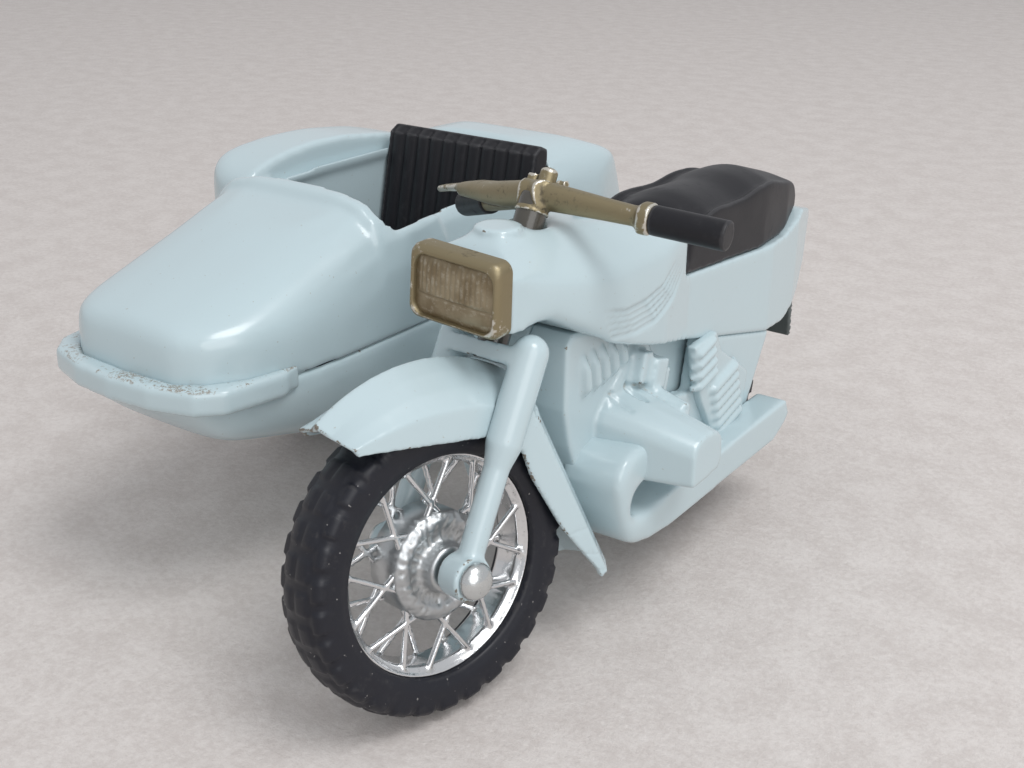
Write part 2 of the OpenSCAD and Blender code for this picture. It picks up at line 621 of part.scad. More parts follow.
// Lower shell, with the boss between it and the hub of the sidecar's wheel
boss_x = wheel_x - hub_w / 2 - 0.2;
module sidecar_pan() raised() {
    color(paint) difference() {
        union() {
            intersection() {
                side(-car_far, -car_near) car_side_lower(0);
                translate([0, 0, pan_z - 1]) linear_extrude(seam_z - pan_z + 1 - 0.02) car_plan(0);
                union() {
                    run(keel_front - 0.5 * (keel_back - keel_front), keel_back, -1);
                    run(keel_back - [1, 0], [car_tail + 1, pan_z], -1);
                }
            }
            translate([-boss_x, car_axle_y, axle_z]) about_x() cylinder(r = 2, h = boss_x - car_far + 0.8);
        }
        intersection() {
            side(-car_far, -car_near) car_side_lower(wall);
            translate([0, 0, pan_z - 1]) linear_extrude(seam_z - pan_z + 6) car_plan(wall);
            union() {
                run(keel_front - 0.5 * (keel_back - keel_front) + [0, wall], keel_back + [0, wall], -1);
                run(keel_back + [-1, wall], [car_tail + 1, pan_z + wall], -1);
            }
        }
        translate([-wheel_x, car_axle_y, axle_z]) about_x() cylinder(r = axle_r + fit_gap / 2, h = fender_w * 2);
    }
}

// Band around the nose, bowed in plan
module sidecar_bumper() raised() {
    half = [[5, car_nose - 1.6], [9.6, car_nose - 0.2], [11.6, car_nose + 2], [car_w / 2 - 0.4, car_nose + 5],
        [car_w / 2 + 0.2, car_nose + 8.5], [car_w / 2, car_nose + 10.5]];
    color(paint) translate([0, 0, seam_z - 1]) linear_extrude(bumper_h) difference() {
        translate([-car_mid, 0]) polygon(concat([[0, car_nose - 2]], half,
            [for (i = [len(half) - 1:-1:0]) [-half[i][0], half[i][1]]]));
        car_plan(0);
    }
}

seat_back_y = 43.6;
module sidecar_seat_base() raised() {
    color(black) intersection() {
        translate([-car_far + wall + 1.6, 28, pan_z + wall]) cube([car_w - 2 * wall - 3.2, seat_back_y - 28 - e, 10]);
        run([20, pan_z + wall + 0.02], [60, pan_z + wall + 0.02], -1);
    }
}
module sidecar_seat_back() raised() {
    color(black) side(-car_far + wall + 0.6, -car_near - wall - 0.6)
        polygon([[seat_back_y, seam_z - 10], [46, seam_z - 10], [46.4, pan_z + wall + 10],
            [opening_back - fit_gap, 37], [opening_back - fit_gap, 38.2], [48.6, 38.8], [47.2, 38],
            [seat_back_y, pan_z + wall + 10]]);
}

module sidecar_arms() raised() {
    color(paint) {
        translate([-car_near + 0.02, front_arm[0], front_arm[1]]) about_x()
            cylinder(r = arm_r, h = car_near - plate_x - 0.04);
        translate([-car_near + 0.02, rear_arm[0], rear_arm[1]]) about_x()
            cylinder(r = arm_r, h = car_near - plate_x - plate_t - 0.04);
    }
}

body_shell();
motorcycle_seat();
headlight_bezel();
headlight_lens();
engine_left();
engine_right();
exhaust_left();
exhaust_right();
rear_frame_left();
rear_frame_right();
shock_left();
shock_right();
rear_mudguard();
fork_casting();
front_mudguard();
steering_stem();
handlebar();
instrument_pods();
grip_left();
grip_right();
front_axle();
front_rim();
front_tyre();
rear_axle();
rear_rim();
rear_tyre();
sidecar_shell();
sidecar_pan();
sidecar_bumper();
sidecar_seat_base();
sidecar_seat_back();
sidecar_arms();
sidecar_axle();
sidecar_rim();
sidecar_tyre();
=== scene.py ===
import json
import math
import bmesh
import bpy
import numpy as np
from mathutils import Matrix, Vector, noise


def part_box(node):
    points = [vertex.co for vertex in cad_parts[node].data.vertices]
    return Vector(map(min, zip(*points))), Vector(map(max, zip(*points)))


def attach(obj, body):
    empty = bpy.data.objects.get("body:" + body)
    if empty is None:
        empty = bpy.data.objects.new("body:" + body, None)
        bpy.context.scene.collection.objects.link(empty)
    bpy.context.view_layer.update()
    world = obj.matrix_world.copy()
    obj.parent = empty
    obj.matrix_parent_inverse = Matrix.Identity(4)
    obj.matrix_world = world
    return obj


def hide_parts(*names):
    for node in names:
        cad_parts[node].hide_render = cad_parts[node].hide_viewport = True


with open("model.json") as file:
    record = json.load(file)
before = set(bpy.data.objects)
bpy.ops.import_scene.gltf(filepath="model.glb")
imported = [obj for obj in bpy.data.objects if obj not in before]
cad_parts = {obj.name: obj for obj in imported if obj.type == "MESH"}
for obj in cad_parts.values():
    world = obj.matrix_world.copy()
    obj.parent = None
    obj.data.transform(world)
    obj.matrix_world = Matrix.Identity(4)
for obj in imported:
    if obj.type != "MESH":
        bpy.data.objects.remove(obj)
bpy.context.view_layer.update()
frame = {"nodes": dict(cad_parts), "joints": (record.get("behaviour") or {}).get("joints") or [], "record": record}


# ---- Tank, tail and body in one casting ----
# One half of a die-cast zinc body, pressed to its mirror image and sprayed a pale blue that has chipped
# along the edges. Five curved flutes run up each flank of the tank to the front of the seat.
MM = 0.001
joints = {joint["name"]: joint for joint in frame["joints"]}
front_hub = Vector(joints["front_wheel_spin"]["pos_m"])


def at(x, y, z):
    """A point given in millimetres from the bike's centre plane, its front hub and the floor."""
    return Vector((front_hub.x + x * MM, front_hub.y + y * MM, z * MM))


class Value:
    """An output of a finish's nodes; Python's operators on it add nodes."""

    def __init__(self, finish, socket):
        self.finish, self.socket = finish, socket

    def __add__(self, other):
        return self.finish.maths("ADD", self, other)

    def __sub__(self, other):
        return self.finish.maths("SUBTRACT", self, other)

    def __rsub__(self, other):
        return self.finish.maths("SUBTRACT", other, self)

    def __mul__(self, other):
        return self.finish.maths("MULTIPLY", self, other)

    __radd__, __rmul__ = __add__, __mul__

    def ramp(self, low, high):
        """0 below low, 1 above high and smooth between them."""
        return self.finish.node("ShaderNodeMapRange", {"interpolation_type": "SMOOTHSTEP"},
                                {"Value": self, "From Min": low, "From Max": high})


class Finish:
    """A material, built from a shader with the same values all over and what varies over it."""

    def __init__(self, name, **surface):
        self.material = bpy.data.materials.new(name)
        self.material.use_nodes = True
        self.tree = self.material.node_tree
        self.shader = self.tree.nodes["Principled BSDF"]
        self.where = Value(self, self.tree.nodes.new("ShaderNodeTexCoord").outputs["Object"])
        self.show(**surface)

    def show(self, **surface):
        """Sets or links the shader's sockets, whose names have underscores for spaces here."""
        for socket, value in surface.items():
            self.put(self.shader.inputs[socket.replace("_", " ")], value)
        return self.material

    def put(self, socket, value):
        if isinstance(value, Value):
            self.tree.links.new(value.socket, socket)
        elif isinstance(value, (tuple, list)) and socket.type == "RGBA" and len(value) == 3:
            socket.default_value = (*value, 1)
        else:
            socket.default_value = value

    def node(self, kind, settings, inputs, output=0):
        made = self.tree.nodes.new(kind)
        for name, value in settings.items():
            setattr(made, name, value)
        for name, value in inputs.items():
            self.put(made.inputs[name], value)
        return Value(self, made.outputs[output])

    def maths(self, operation, a, b):
        vector = any(isinstance(v, tuple) or isinstance(v, Value) and v.socket.type == "VECTOR"
                     for v in (a, b))
        kind = "ShaderNodeVectorMath" if vector else "ShaderNodeMath"
        return self.node(kind, {"operation": operation}, {0: a, 1: b})

    def mix(self, amount, a, b):
        """Colour a where amount is 0, and b where it is 1."""
        return self.node("ShaderNodeMix", {"data_type": "RGBA"}, {0: amount, 6: a, 7: b}, 2)

    def noise(self, size, detail=3.0, rough=0.5, where=None):
        """Even noise from 0 to 1 whose lumps are about size millimetres apart."""
        return self.node("ShaderNodeTexNoise", {}, {"Vector": where or self.where, "Scale": 1 / (size * MM),
                                                    "Detail": detail, "Roughness": rough})

    def edge(self):
        """The value stored on the mesh for wear and darkening: above 0 on outer edges, below 0 in corners."""
        return self.node("ShaderNodeAttribute", {"attribute_name": "edge"}, {}, "Fac")

    def bump(self, height, depth, strength=1.0):
        """A surface direction that follows height, which is depth millimetres at 1."""
        return self.node("ShaderNodeBump", {}, {"Height": height, "Distance": depth * MM,
                                                "Strength": strength}, "Normal")


PALE_BLUE = (0.48, 0.594, 0.629)
BARE_METAL = (0.20, 0.18, 0.15)
DARK_BROWN = (0.30, 0.25, 0.18)
DRIED_DIRT = (0.20, 0.13, 0.07)


def sprayed_paint(name, colour=PALE_BLUE, chips=0.0, darker_by=0.0, crumbs=0.0):
    """Glossy sprayed paint with a few chips to bare metal on worn edges, darker brown in the corners and in soft
    patches, and dried dirt on what faces up where crumbs is above 0."""
    f = Finish(name, Roughness=0.3, Specular_IOR_Level=0.5, Coat_Roughness=0.12)
    edge = f.edge()
    fine = f.noise(0.5, 4, 0.65) - 0.5
    broad = f.noise(6, 3) - 0.5
    chipped = (edge * 0.42 + fine * 1.3 + broad * 1.1 + chips).ramp(0.56, 0.6)
    smeared = f.noise(0.9, 5, 0.7) - 0.5
    # Darker brown in the corners, where the stored edge value is below 0, and in soft patches of noise.
    darker_mask = ((0 - edge) * 0.75 + smeared * 1.1 + broad * 0.6 + darker_by).ramp(0.45, 0.95)
    tint = f.mix(f.noise(14, 2).ramp(0.3, 0.7), colour, tuple(c * 0.95 + 0.02 for c in colour))
    specks = f.noise(0.34, 2, 0.4, f.where + (0.013, 0.007, 0.002)).ramp(0.74, 0.78)
    painted = f.mix(specks * 0.45, f.mix(darker_mask * 0.6, tint, DARK_BROWN), DARK_BROWN)
    if crumbs:
        facing = f.node("ShaderNodeNewGeometry", {}, {}, "Normal")
        up = f.node("ShaderNodeSeparateXYZ", {}, {0: facing}, "Z").ramp(0.5, 0.9)
        dried = (f.noise(0.4, 5, 0.75) + (f.noise(4, 2) - 0.5) * 0.7 + crumbs).ramp(0.54, 0.66) * up
        painted = f.mix(dried * 0.75, painted, DRIED_DIRT)
    height = f.noise(1.6, 3) * 0.35 + f.noise(0.35, 2) * 0.06 - chipped * 0.4
    return f.show(Base_Color=f.mix(chipped, painted, BARE_METAL),
                  Roughness=0.25 + darker_mask * 0.35 + chipped * 0.25,
                  Metallic=chipped * 0.4,
                  Coat_Weight=0.45 * (1 - chipped) * (1 - darker_mask),
                  Normal=f.bump(height, 0.06, 0.5))


def mesh_points(mesh, kind="co"):
    """The places of a mesh's points, or their normals when kind is "normal", one row for each."""
    values = np.empty(len(mesh.vertices) * 3)
    mesh.vertices.foreach_get(kind, values)
    return values.reshape(-1, 3)


def set_points(mesh, points):
    mesh.vertices.foreach_set("co", points.ravel())
    mesh.update()


def in_mm(points):
    """Points as (x, y, z) in the millimetres that at() takes."""
    return (points - np.array(at(0, 0, 0))) / MM


def neighbours(mesh):
    """The two ends of every edge, and how many edges meet in each point."""
    ends = np.empty(len(mesh.edges) * 2, int)
    mesh.edges.foreach_get("vertices", ends)
    a, b = ends.reshape(-1, 2).T
    count = len(mesh.vertices)
    return a, b, np.bincount(a, minlength=count) + np.bincount(b, minlength=count)


def worn(obj):
    """Stores how far each point stands out from its neighbours, which the finishes wear on edges and darken in
    corners.
    """
    mesh = obj.data
    points, normals = mesh_points(mesh), mesh_points(mesh, "normal")
    a, b, near = neighbours(mesh)
    near = near + 1e-9
    count = len(points)
    step = points[b] - points[a]
    length = np.maximum(np.linalg.norm(step, axis=1), 1e-9)
    bend = (np.bincount(a, -(step * normals[a]).sum(1) / length ** 2, count)
            + np.bincount(b, (step * normals[b]).sum(1) / length ** 2, count)) / near * MM
    for _ in range(2):
        bend = (bend + (np.bincount(a, bend[b], count) + np.bincount(b, bend[a], count)) / near) / 2
    value = mesh.attributes.get("edge") or mesh.attributes.new("edge", "FLOAT", "POINT")
    value.data.foreach_set("value", np.clip(bend, -1, 1).astype(np.float32))


def finished(obj, material, body, slot, *nodes):
    """Gives a piece its material, its smooth faces, its wear, its body and the nodes that it stands for."""
    obj.data.materials.clear()
    obj.data.materials.append(material)
    obj.data.polygons.foreach_set("use_smooth", [True] * len(obj.data.polygons))
    worn(obj)
    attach(obj, body)
    if nodes:
        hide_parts(*nodes)


def piece(name, mesh):
    obj = bpy.data.objects.new(name, mesh)
    bpy.context.scene.collection.objects.link(obj)
    return obj


def modified(obj, kind, **settings):
    """Changes a piece's mesh by one modifier and its settings."""
    step = obj.modifiers.new(kind, kind)
    for name, value in settings.items():
        setattr(step, name, value)
    graph = bpy.context.evaluated_depsgraph_get()
    mesh = bpy.data.meshes.new_from_object(obj.evaluated_get(graph))
    old, obj.data = obj.data, mesh
    obj.modifiers.clear()
    bpy.data.meshes.remove(old)


def fused(obj, grain):
    """Makes one skin of a piece's overlapping solids; grain is in mm."""
    modified(obj, "REMESH", mode="VOXEL", voxel_size=grain * MM, adaptivity=0)


def thinned(obj, keep):
    """Keeps the given part of a piece's triangles."""
    modified(obj, "DECIMATE", ratio=keep)


def as_mesh(name, shape):
    """Turns a shape in the making into a mesh."""
    mesh = bpy.data.meshes.new(name)
    shape.to_mesh(mesh)
    shape.free()
    return mesh


def moulded(name, meshes, grain, soften, keep=1.0, cut=()):
    """Fuses closed solids into one casting with soft edges; grain is in mm, and cut are solids taken out."""
    whole = bmesh.new()
    for mesh in meshes:
        whole.from_mesh(mesh)
    obj = piece(name, as_mesh(name, whole))
    fused(obj, grain)
    for tool in cut:
        other = piece("hollow", tool)
        modified(obj, "BOOLEAN", operation="DIFFERENCE", object=other, solver="EXACT")
        bpy.data.objects.remove(other)
    if cut:
        fused(obj, grain)
    modified(obj, "SMOOTH", factor=0.5, iterations=soften)
    if keep < 1:
        thinned(obj, keep)
    return obj


def cad(node):
    return frame["nodes"][node].data


def sink(obj, depth):
    """Moves each point inwards along its normal by depth(points, normals) in mm."""
    points, normals = mesh_points(obj.data), mesh_points(obj.data, "normal")
    set_points(obj.data, points - normals * (depth(in_mm(points), normals) * MM)[:, None])


def relax(obj, times, where):
    """Evens out the points for which where(points) is above 0, and less where it is smaller."""
    points = mesh_points(obj.data)
    a, b, near = neighbours(obj.data)
    count = len(points)
    amount = where(in_mm(points))[:, None]
    for _ in range(times):
        total = np.stack([np.bincount(a, points[b, k], count) + np.bincount(b, points[a, k], count)
                          for k in range(3)], 1)
        points += amount * 0.6 * (total / near[:, None] - points)
    set_points(obj.data, points)


def fade(values, start, over):
    """0 up to start and 1 past start + over; it falls from 1 to 0 the other way when over is below 0."""
    return np.clip((values - start) / over, 0, 1)


def groove(distance, width):
    """1 on a line and 0 beyond its width, with round sides."""
    return np.clip(1 - (distance / (width / 2)) ** 2, 0, 1)


def off_line(points, line):
    """The distance of points from a line of points, all in the same plane."""
    best = np.full(len(points), np.inf)
    for start, end in zip(line, line[1:]):
        start, way = np.array(start), np.subtract(end, start)
        along = np.clip(((points - start) @ way) / (way @ way), 0, 1)
        best = np.minimum(best, np.linalg.norm(points - start - along[:, None] * way, axis=1))
    return best


CAP_Y, CAP_CLEAR = 10.1, 2.6
FLUTES, FLUTE_W, FLUTE_DEPTH = 5, 0.62, 0.24


def tank_flutes(p, n):
    """Flutes that sweep back and up each flank, each a little lower and longer than the one above it."""
    cut = np.zeros(len(p))
    for i in range(FLUTES):
        line = [(17.0 + 0.35 * i, 33.4 - 0.68 * i), (20.2 + 0.5 * i, 32.7 - 0.62 * i),
                (23.4 + 0.55 * i, 32.7 - 0.6 * i), (27 + 0.65 * i, 33.3 - 0.42 * i),
                (29.6 + 0.55 * i, 34.8 - 0.3 * i)]
        along = fade(p[:, 1], 16.6, 2) * fade(p[:, 1], 30.4 + 0.4 * i, -3)
        cut = np.maximum(cut, groove(off_line(p[:, 1:], line), FLUTE_W) * along)
    return FLUTE_DEPTH * cut * fade(np.abs(n[:, 0]), 0.25, 0.3)


def tank_top(p):
    """The tank between the lamp and the seat, apart from the place of its cap."""
    return (fade(p[:, 2], 29, 3) * fade(p[:, 1], 34, -3) * fade(p[:, 1], 7, 2)
            * (np.hypot(p[:, 0], p[:, 1] - CAP_Y) > CAP_CLEAR))


body = moulded("body_casting", [cad("body_shell")], grain=0.22, soften=10)
relax(body, 60, tank_top)
sink(body, tank_flutes)
thinned(body, 0.6)
paint = sprayed_paint("pale_blue_paint")
finished(body, paint, "chassis", "paint", "body_shell")


# ---- Motorcycle seat ----
# Pressed into the step of the body: black hard plastic, moulded with a dip for the rider and a raised
# rear end.
def moulded_plastic(name, colour=(0.012, 0.012, 0.015), pale=(0.10, 0.10, 0.105)):
    """Black plastic with a satin skin, rubbed paler on its edges and dusty in places."""
    f = Finish(name, Roughness=0.4, Specular_IOR_Level=0.3)
    dust = f.noise(1.1, 5, 0.7).ramp(0.5, 0.8) * f.noise(7, 2).ramp(0.4, 0.7)
    rub = (f.edge() * 1.2 + (f.noise(0.6, 4) - 0.5) * 0.5).ramp(0.25, 0.7)
    height = f.noise(0.28, 2) * 0.3 + f.noise(2.2, 3) * 0.5
    return f.show(Base_Color=f.mix(dust * 0.35 + rub * 0.25, colour, pale),
                  Roughness=0.36 + dust * 0.3 + f.noise(3, 3) * 0.12,
                  Normal=f.bump(height, 0.04, 0.5))


SEAT_HALF_W, SEAT_FALL = 6, 2.6


def crowned(p, n):
    """The seat is highest along its middle and falls away to each side."""
    return fade(p[:, 2], 33.2, 4.5) * np.clip(n[:, 2], 0, 1) * SEAT_FALL * (p[:, 0] / SEAT_HALF_W) ** 2


black_plastic = moulded_plastic("black_plastic")
seat = moulded("rider_seat", [cad("motorcycle_seat")], grain=0.2, soften=10)
sink(seat, crowned)
relax(seat, 50, lambda p: fade(p[:, 2], 33.5, 2))
thinned(seat, 0.5)
finished(seat, black_plastic, "chassis", "seat_black", "motorcycle_seat")


# ---- Headlight ----
# A plated plastic insert in the front of the body: a wide bevelled rim with rounded corners around a
# recessed lens that has upright flutes on its upper two thirds. Its gold plating is dull and rubbed.
def worn_gold(name, colour=(0.27, 0.225, 0.135), bright=(0.62, 0.59, 0.52), dull=(0.085, 0.07, 0.042)):
    """Thin gold plating gone dull, with bright rubbed edges, and a darker brown in the corners and in patches."""
    f = Finish(name, Specular_IOR_Level=0.6)
    edge = f.edge()
    fine = f.noise(0.5, 5, 0.7) - 0.5
    broad = f.noise(3.5, 3) - 0.5
    rubbed = (edge * 0.55 + fine * 1.1 + broad * 1.3).ramp(0.34, 0.5)
    # Darker brown in the corners, where the stored edge value is below 0, and in patches of noise.
    darker_mask = (fine * 1.3 - edge * 0.7 - broad * 1.2).ramp(0.0, 0.45)
    height = f.noise(0.3, 3) * 0.5 + f.noise(1.4, 3) * 0.6
    return f.show(Base_Color=f.mix(rubbed, f.mix(darker_mask, colour, dull), bright),
                  Metallic=0.72 - darker_mask * 0.5,
                  Roughness=0.42 + darker_mask * 0.3 - rubbed * 0.12,
                  Normal=f.bump(height, 0.05, 0.7))


def solid(rings, ends="capped"):
    """A mesh through rings of equally many points, whose ends are capped, open or joined to each other."""
    shape = bmesh.new()
    made = [[shape.verts.new(p) for p in ring] for ring in rings]
    if ends == "joined":
        made.append(made[0])
    for here, there in zip(made, made[1:]):
        for i in range(len(here)):
            j = (i + 1) % len(here)
            shape.faces.new((here[i], here[j], there[j], there[i]))
    if ends == "capped":
        shape.faces.new(made[0][::-1])
        shape.faces.new(made[-1])
    bmesh.ops.recalc_face_normals(shape, faces=shape.faces)
    return as_mesh("solid", shape)


lamp_low, lamp_high = (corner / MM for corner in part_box("headlight_bezel"))
lamp_mid = (lamp_low + lamp_high) / 2
half_w, half_h = (lamp_high.x - lamp_low.x) / 2, (lamp_high.z - lamp_low.z) / 2
lamp_front, lamp_back = lamp_low.y, lamp_high.y


def crooked(x, y, z):
    """A point on the lamp's face; the insert sits a little crooked, and is narrower at its top."""
    return Vector((lamp_mid.x + x * (1 - 0.005 * z) + 0.05 * z, y, lamp_mid.z + z - 0.06 * x)) * MM


def rounded_frame(inset, radius, y, drop=0.0):
    """A rounded rectangle on the lamp's face, inset from its edge and lowered by drop, at depth y."""
    ring, steps = [], 6
    w, h = half_w - inset - radius, half_h - inset - radius
    for right, up, start in ((1, 1, 0), (-1, 1, 90), (-1, -1, 180), (1, -1, 270)):
        for i in range(steps + 1):
            turn = math.radians(start + 90 * i / steps)
            ring.append(crooked(right * w + radius * math.cos(turn), y,
                                up * h + radius * math.sin(turn) - drop))
    return ring


rim_rings = [rounded_frame(0, 1.0, lamp_back),
             rounded_frame(0, 1.0, lamp_front + 0.7),
             rounded_frame(0.1, 1.0, lamp_front + 0.35),
             rounded_frame(0.32, 1.0, lamp_front + 0.08),
             rounded_frame(0.5, 1.1, lamp_front, 0.14),
             rounded_frame(0.6, 1.15, lamp_front + 0.12, 0.2),
             rounded_frame(0.66, 1.15, lamp_front + 0.4, 0.2),
             rounded_frame(0.75, 1.15, lamp_back, 0.2)]
bezel = piece("headlight_rim", solid(rim_rings, "open"))
gold = worn_gold("worn_gold_plating")
finished(bezel, gold, "chassis", "gold_plate", "headlight_bezel")


def lens_face():
    """The lens, as a grid over the opening: a pillow with fine upright flutes down to a curved line, and a
    straight groove below them."""
    across, up, squareness = 150, 60, 6
    pillow, flutes, flute_depth, groove_z, groove_depth = 0.4, 8, 0.06, -0.28, 0.1
    w, h = half_w - 0.62, half_h - 0.62
    shape, grid = bmesh.new(), []
    for j in range(up + 1):
        row = []
        for i in range(across + 1):
            u, v = 2 * i / across - 1, 2 * j / up - 1
            squeeze = (abs(u) ** squareness + abs(v) ** squareness) ** (1 / squareness) or 1
            most = max(abs(u), abs(v)) or 1
            x, z = u * most / squeeze, v * most / squeeze
            relief = 0.0
            if z > -0.22 + 0.1 * x * x:
                relief = flute_depth * abs(math.cos(math.pi * flutes * x))
            if abs(z - groove_z) < 0.045:
                relief = -groove_depth
            relief *= min(1, 6 * max(0, 0.96 - max(abs(x), abs(z))))
            depth = lamp_front + 0.48 - pillow * (1 - x ** 4) * (1 - z ** 4) - relief
            row.append(shape.verts.new(crooked(w * x, depth, h * z - 0.2)))
        grid.append(row)
    for low, high in zip(grid, grid[1:]):
        for i in range(across):
            shape.faces.new((low[i], low[i + 1], high[i + 1], high[i]))
    return as_mesh("lens", shape)


def lamp_plating(name):
    """Thin brown plating over the lens, worn through to pale plastic in places."""
    f = Finish(name, Roughness=0.34, Specular_IOR_Level=0.6)
    worn_through = (f.noise(0.7, 5, 0.7) + f.edge() * 0.12).ramp(0.52, 0.7)
    tone = f.mix(f.noise(2.4, 3).ramp(0.35, 0.65), (0.20, 0.155, 0.09), (0.30, 0.25, 0.165))
    return f.show(Base_Color=f.mix(worn_through * 0.55, tone, (0.42, 0.38, 0.30)),
                  Metallic=0.6 - worn_through * 0.1,
                  Roughness=0.32 + f.noise(0.5, 3) * 0.2,
                  Normal=f.bump(f.noise(0.4, 3), 0.03, 0.5))


lens = piece("headlight_lens_face", lens_face())
finished(lens, lamp_plating("lens_plating"), "chassis", "lens", "headlight_lens")


# ---- Engine block on each side ----
# Part of the same die casting: a flat crankcase plate, a finned block above it, carburettor lumps behind, and
# one fat cylinder that stands out sideways, with two slots at its root.
SIDES = ("left", "right")


def block(low, high, tilt=0.0, lean=0.0):
    """A closed block in mm between two corners, turned about its centre by tilt around x, lean around z."""
    centre = (Vector(low) + Vector(high)) / 2
    turn = Matrix.Rotation(math.radians(tilt), 4, "X") @ Matrix.Rotation(math.radians(lean), 4, "Z")
    corners = [(low[0], low[1]), (high[0], low[1]), (high[0], high[1]), (low[0], high[1])]
    return solid([[at(*(turn @ (Vector((x, y, z)) - centre) + centre)) for x, y in corners]
                  for z in (low[2], high[2])])


def circle(sides):
    """The cosine and sine of as many equal steps round a circle as it has sides."""
    return [(math.cos(2 * math.pi * k / sides), math.sin(2 * math.pi * k / sides)) for k in range(sides)]


def barrel(start, end, r0, r1, dome=0.0):
    """A closed round bar in mm from start to end, with a domed far end when dome is above 0."""
    start, end = Vector(start), Vector(end)
    out = (end - start).normalized()
    turn = Vector((0, 0, 1)).rotation_difference(out).to_matrix()
    stations = [(start, r0), (end, r1)]
    if dome:
        for angle in map(math.radians, (20, 40, 60, 78)):
            stations.append((end + out * dome * math.sin(angle), r1 * math.cos(angle)))
    return solid([[at(*(centre + turn @ Vector((radius * c, radius * s, 0)))) for c, s in circle(24)]
                  for centre, radius in stations])


def bent(points, radii, sides):
    """A closed round bar through points in mm, with a radius at each."""
    points = [Vector(p) for p in points]
    rings = []
    for i, p in enumerate(points):
        way = (points[min(i + 1, len(points) - 1)] - points[max(i - 1, 0)]).normalized()
        side = Vector((1, 0, 0)) if abs(way.x) < 0.9 else Vector((0, 1, 0))
        up = way.cross(side).normalized()
        side = up.cross(way)
        rings.append([at(*(p + radii[i] * (side * c + up * s))) for c, s in circle(sides)])
    return solid(rings)


def slab(outline, x0, x1):
    """A closed plate in mm from x0 to x1 with an outline of (y, z) points."""
    return solid([[at(x, y, z) for y, z in outline] for x in (x0, x1)])


def mirrored(meshes, side):
    """The meshes of the left side, or their mirror images in the bike's centre plane for the right."""
    if side == "left":
        return meshes
    images = []
    for mesh in meshes:
        shape = bmesh.new()
        shape.from_mesh(mesh)
        for v in shape.verts:
            v.co.x = 2 * front_hub.x - v.co.x
        bmesh.ops.reverse_faces(shape, faces=shape.faces)
        images.append(as_mesh("mirrored", shape))
    return images


def crankcase():
    """The plain body of the block, the raised plate around the cylinder's root and the web behind it."""
    return [slab([(19, 11.6), (20.6, 10), (30.6, 10), (31, 13), (31, 20), (29.4, 24), (24, 31), (23, 31.2),
                  (15.6, 31.2), (14.6, 30.2), (14.6, 24), (15.6, 20), (17.2, 16)], 0, 4.4),
            slab([(20.6, 20.2), (20.9, 22.8), (24.2, 25.5), (26.6, 27.6), (28.4, 27.2), (31.2, 22.4),
                  (31.5, 16), (20.6, 15.6)], 4.0, 5.0),
            slab([(28, 27.4), (40.5, 24.4), (41, 12.6), (30, 12)], 3.4, 4.1)]


def upright_ribs(count=5, spacing=1.62):
    ribs = []
    for i in range(count):
        y = 17.6 + spacing * i
        low = max(24.8, 24.4 + 0.3 * i)
        ribs.append(bent([(4.4, y + 0.1, low), (4.75, y, low + 0.7), (4.7, y - 0.2, 27.4),
                          (4.2, y - 0.4, 28.6)], [0.42, 0.56, 0.56, 0.4], 12))
    return ribs


def cylinder():
    """The fat cylinder, whose flat-sided outline shrinks from the block to its end."""
    root = [(19.7, 16.1), (19.7, 21.3), (20.3, 22.3), (21.7, 23.0), (23.8, 23.3), (25.8, 23.1),
            (27.4, 22.2), (28.1, 20.6), (28.1, 16.4), (27.5, 15.7), (20.4, 15.7)]
    end = [(22.2, 16.1), (22.2, 19.1), (22.5, 19.9), (23.3, 20.4), (24.4, 20.6), (25.8, 20.5),
           (27.0, 20.1), (27.8, 19.2), (27.9, 16.9), (27.4, 16.1), (22.7, 15.8)]
    return solid([[at(x, y, z) for y, z in ring] for x, ring in ((4.0, root), (5.0, root), (13.9, end))])


def carburettor():
    """Three stepped lumps behind the cylinder and a short round pipe along its top."""
    return [block((4.2, 25.2, 23.4), (6.2, 27.2, 26.6), -16, 6),
            block((4.2, 27.0, 21.6), (6.7, 29.4, 25.4), -16),
            block((4.2, 28.8, 20.6), (6.1, 31.0, 23.8), -16),
            bent([(5.2, 27.5, 22.2), (8.0, 27.4, 21.5), (10.2, 27.1, 21.2)], [1.0, 0.95, 0.85], 14)]


def cylinder_slots():
    return [bent([(4.5, y, 23.6), (5.8, y, 23.0), (7.4, y, 22.3)], [0.4, 0.55, 0.3], 12)
            for y in (21.9, 24.4)]


for side in SIDES:
    solids = crankcase() + upright_ribs() + [cylinder()] + carburettor()
    engine = moulded(f"engine_{side}_casting", mirrored(solids, side), grain=0.2, soften=5, keep=0.4,
                     cut=mirrored(cylinder_slots(), side))
    finished(engine, paint, "chassis", "paint", f"engine_{side}")


# ---- Tank cap and filler peg ----
# A shallow round cap at the front of the tank and a short peg behind the handlebar, cast with the body.
PEG_Y = 23.7
filler_cap = barrel((0, CAP_Y, 40.4), (0, CAP_Y, 41.74), 2.0, 1.85)
peg = barrel((0, PEG_Y, 37.5), (0, PEG_Y, 40.9), 1.35, 0.95, dome=0.6)
cap = moulded("tank_cap_and_peg", [filler_cap, peg], grain=0.12, soften=4, keep=0.6)
finished(cap, sprayed_paint("cap_paint", chips=-0.12), "chassis", "paint")


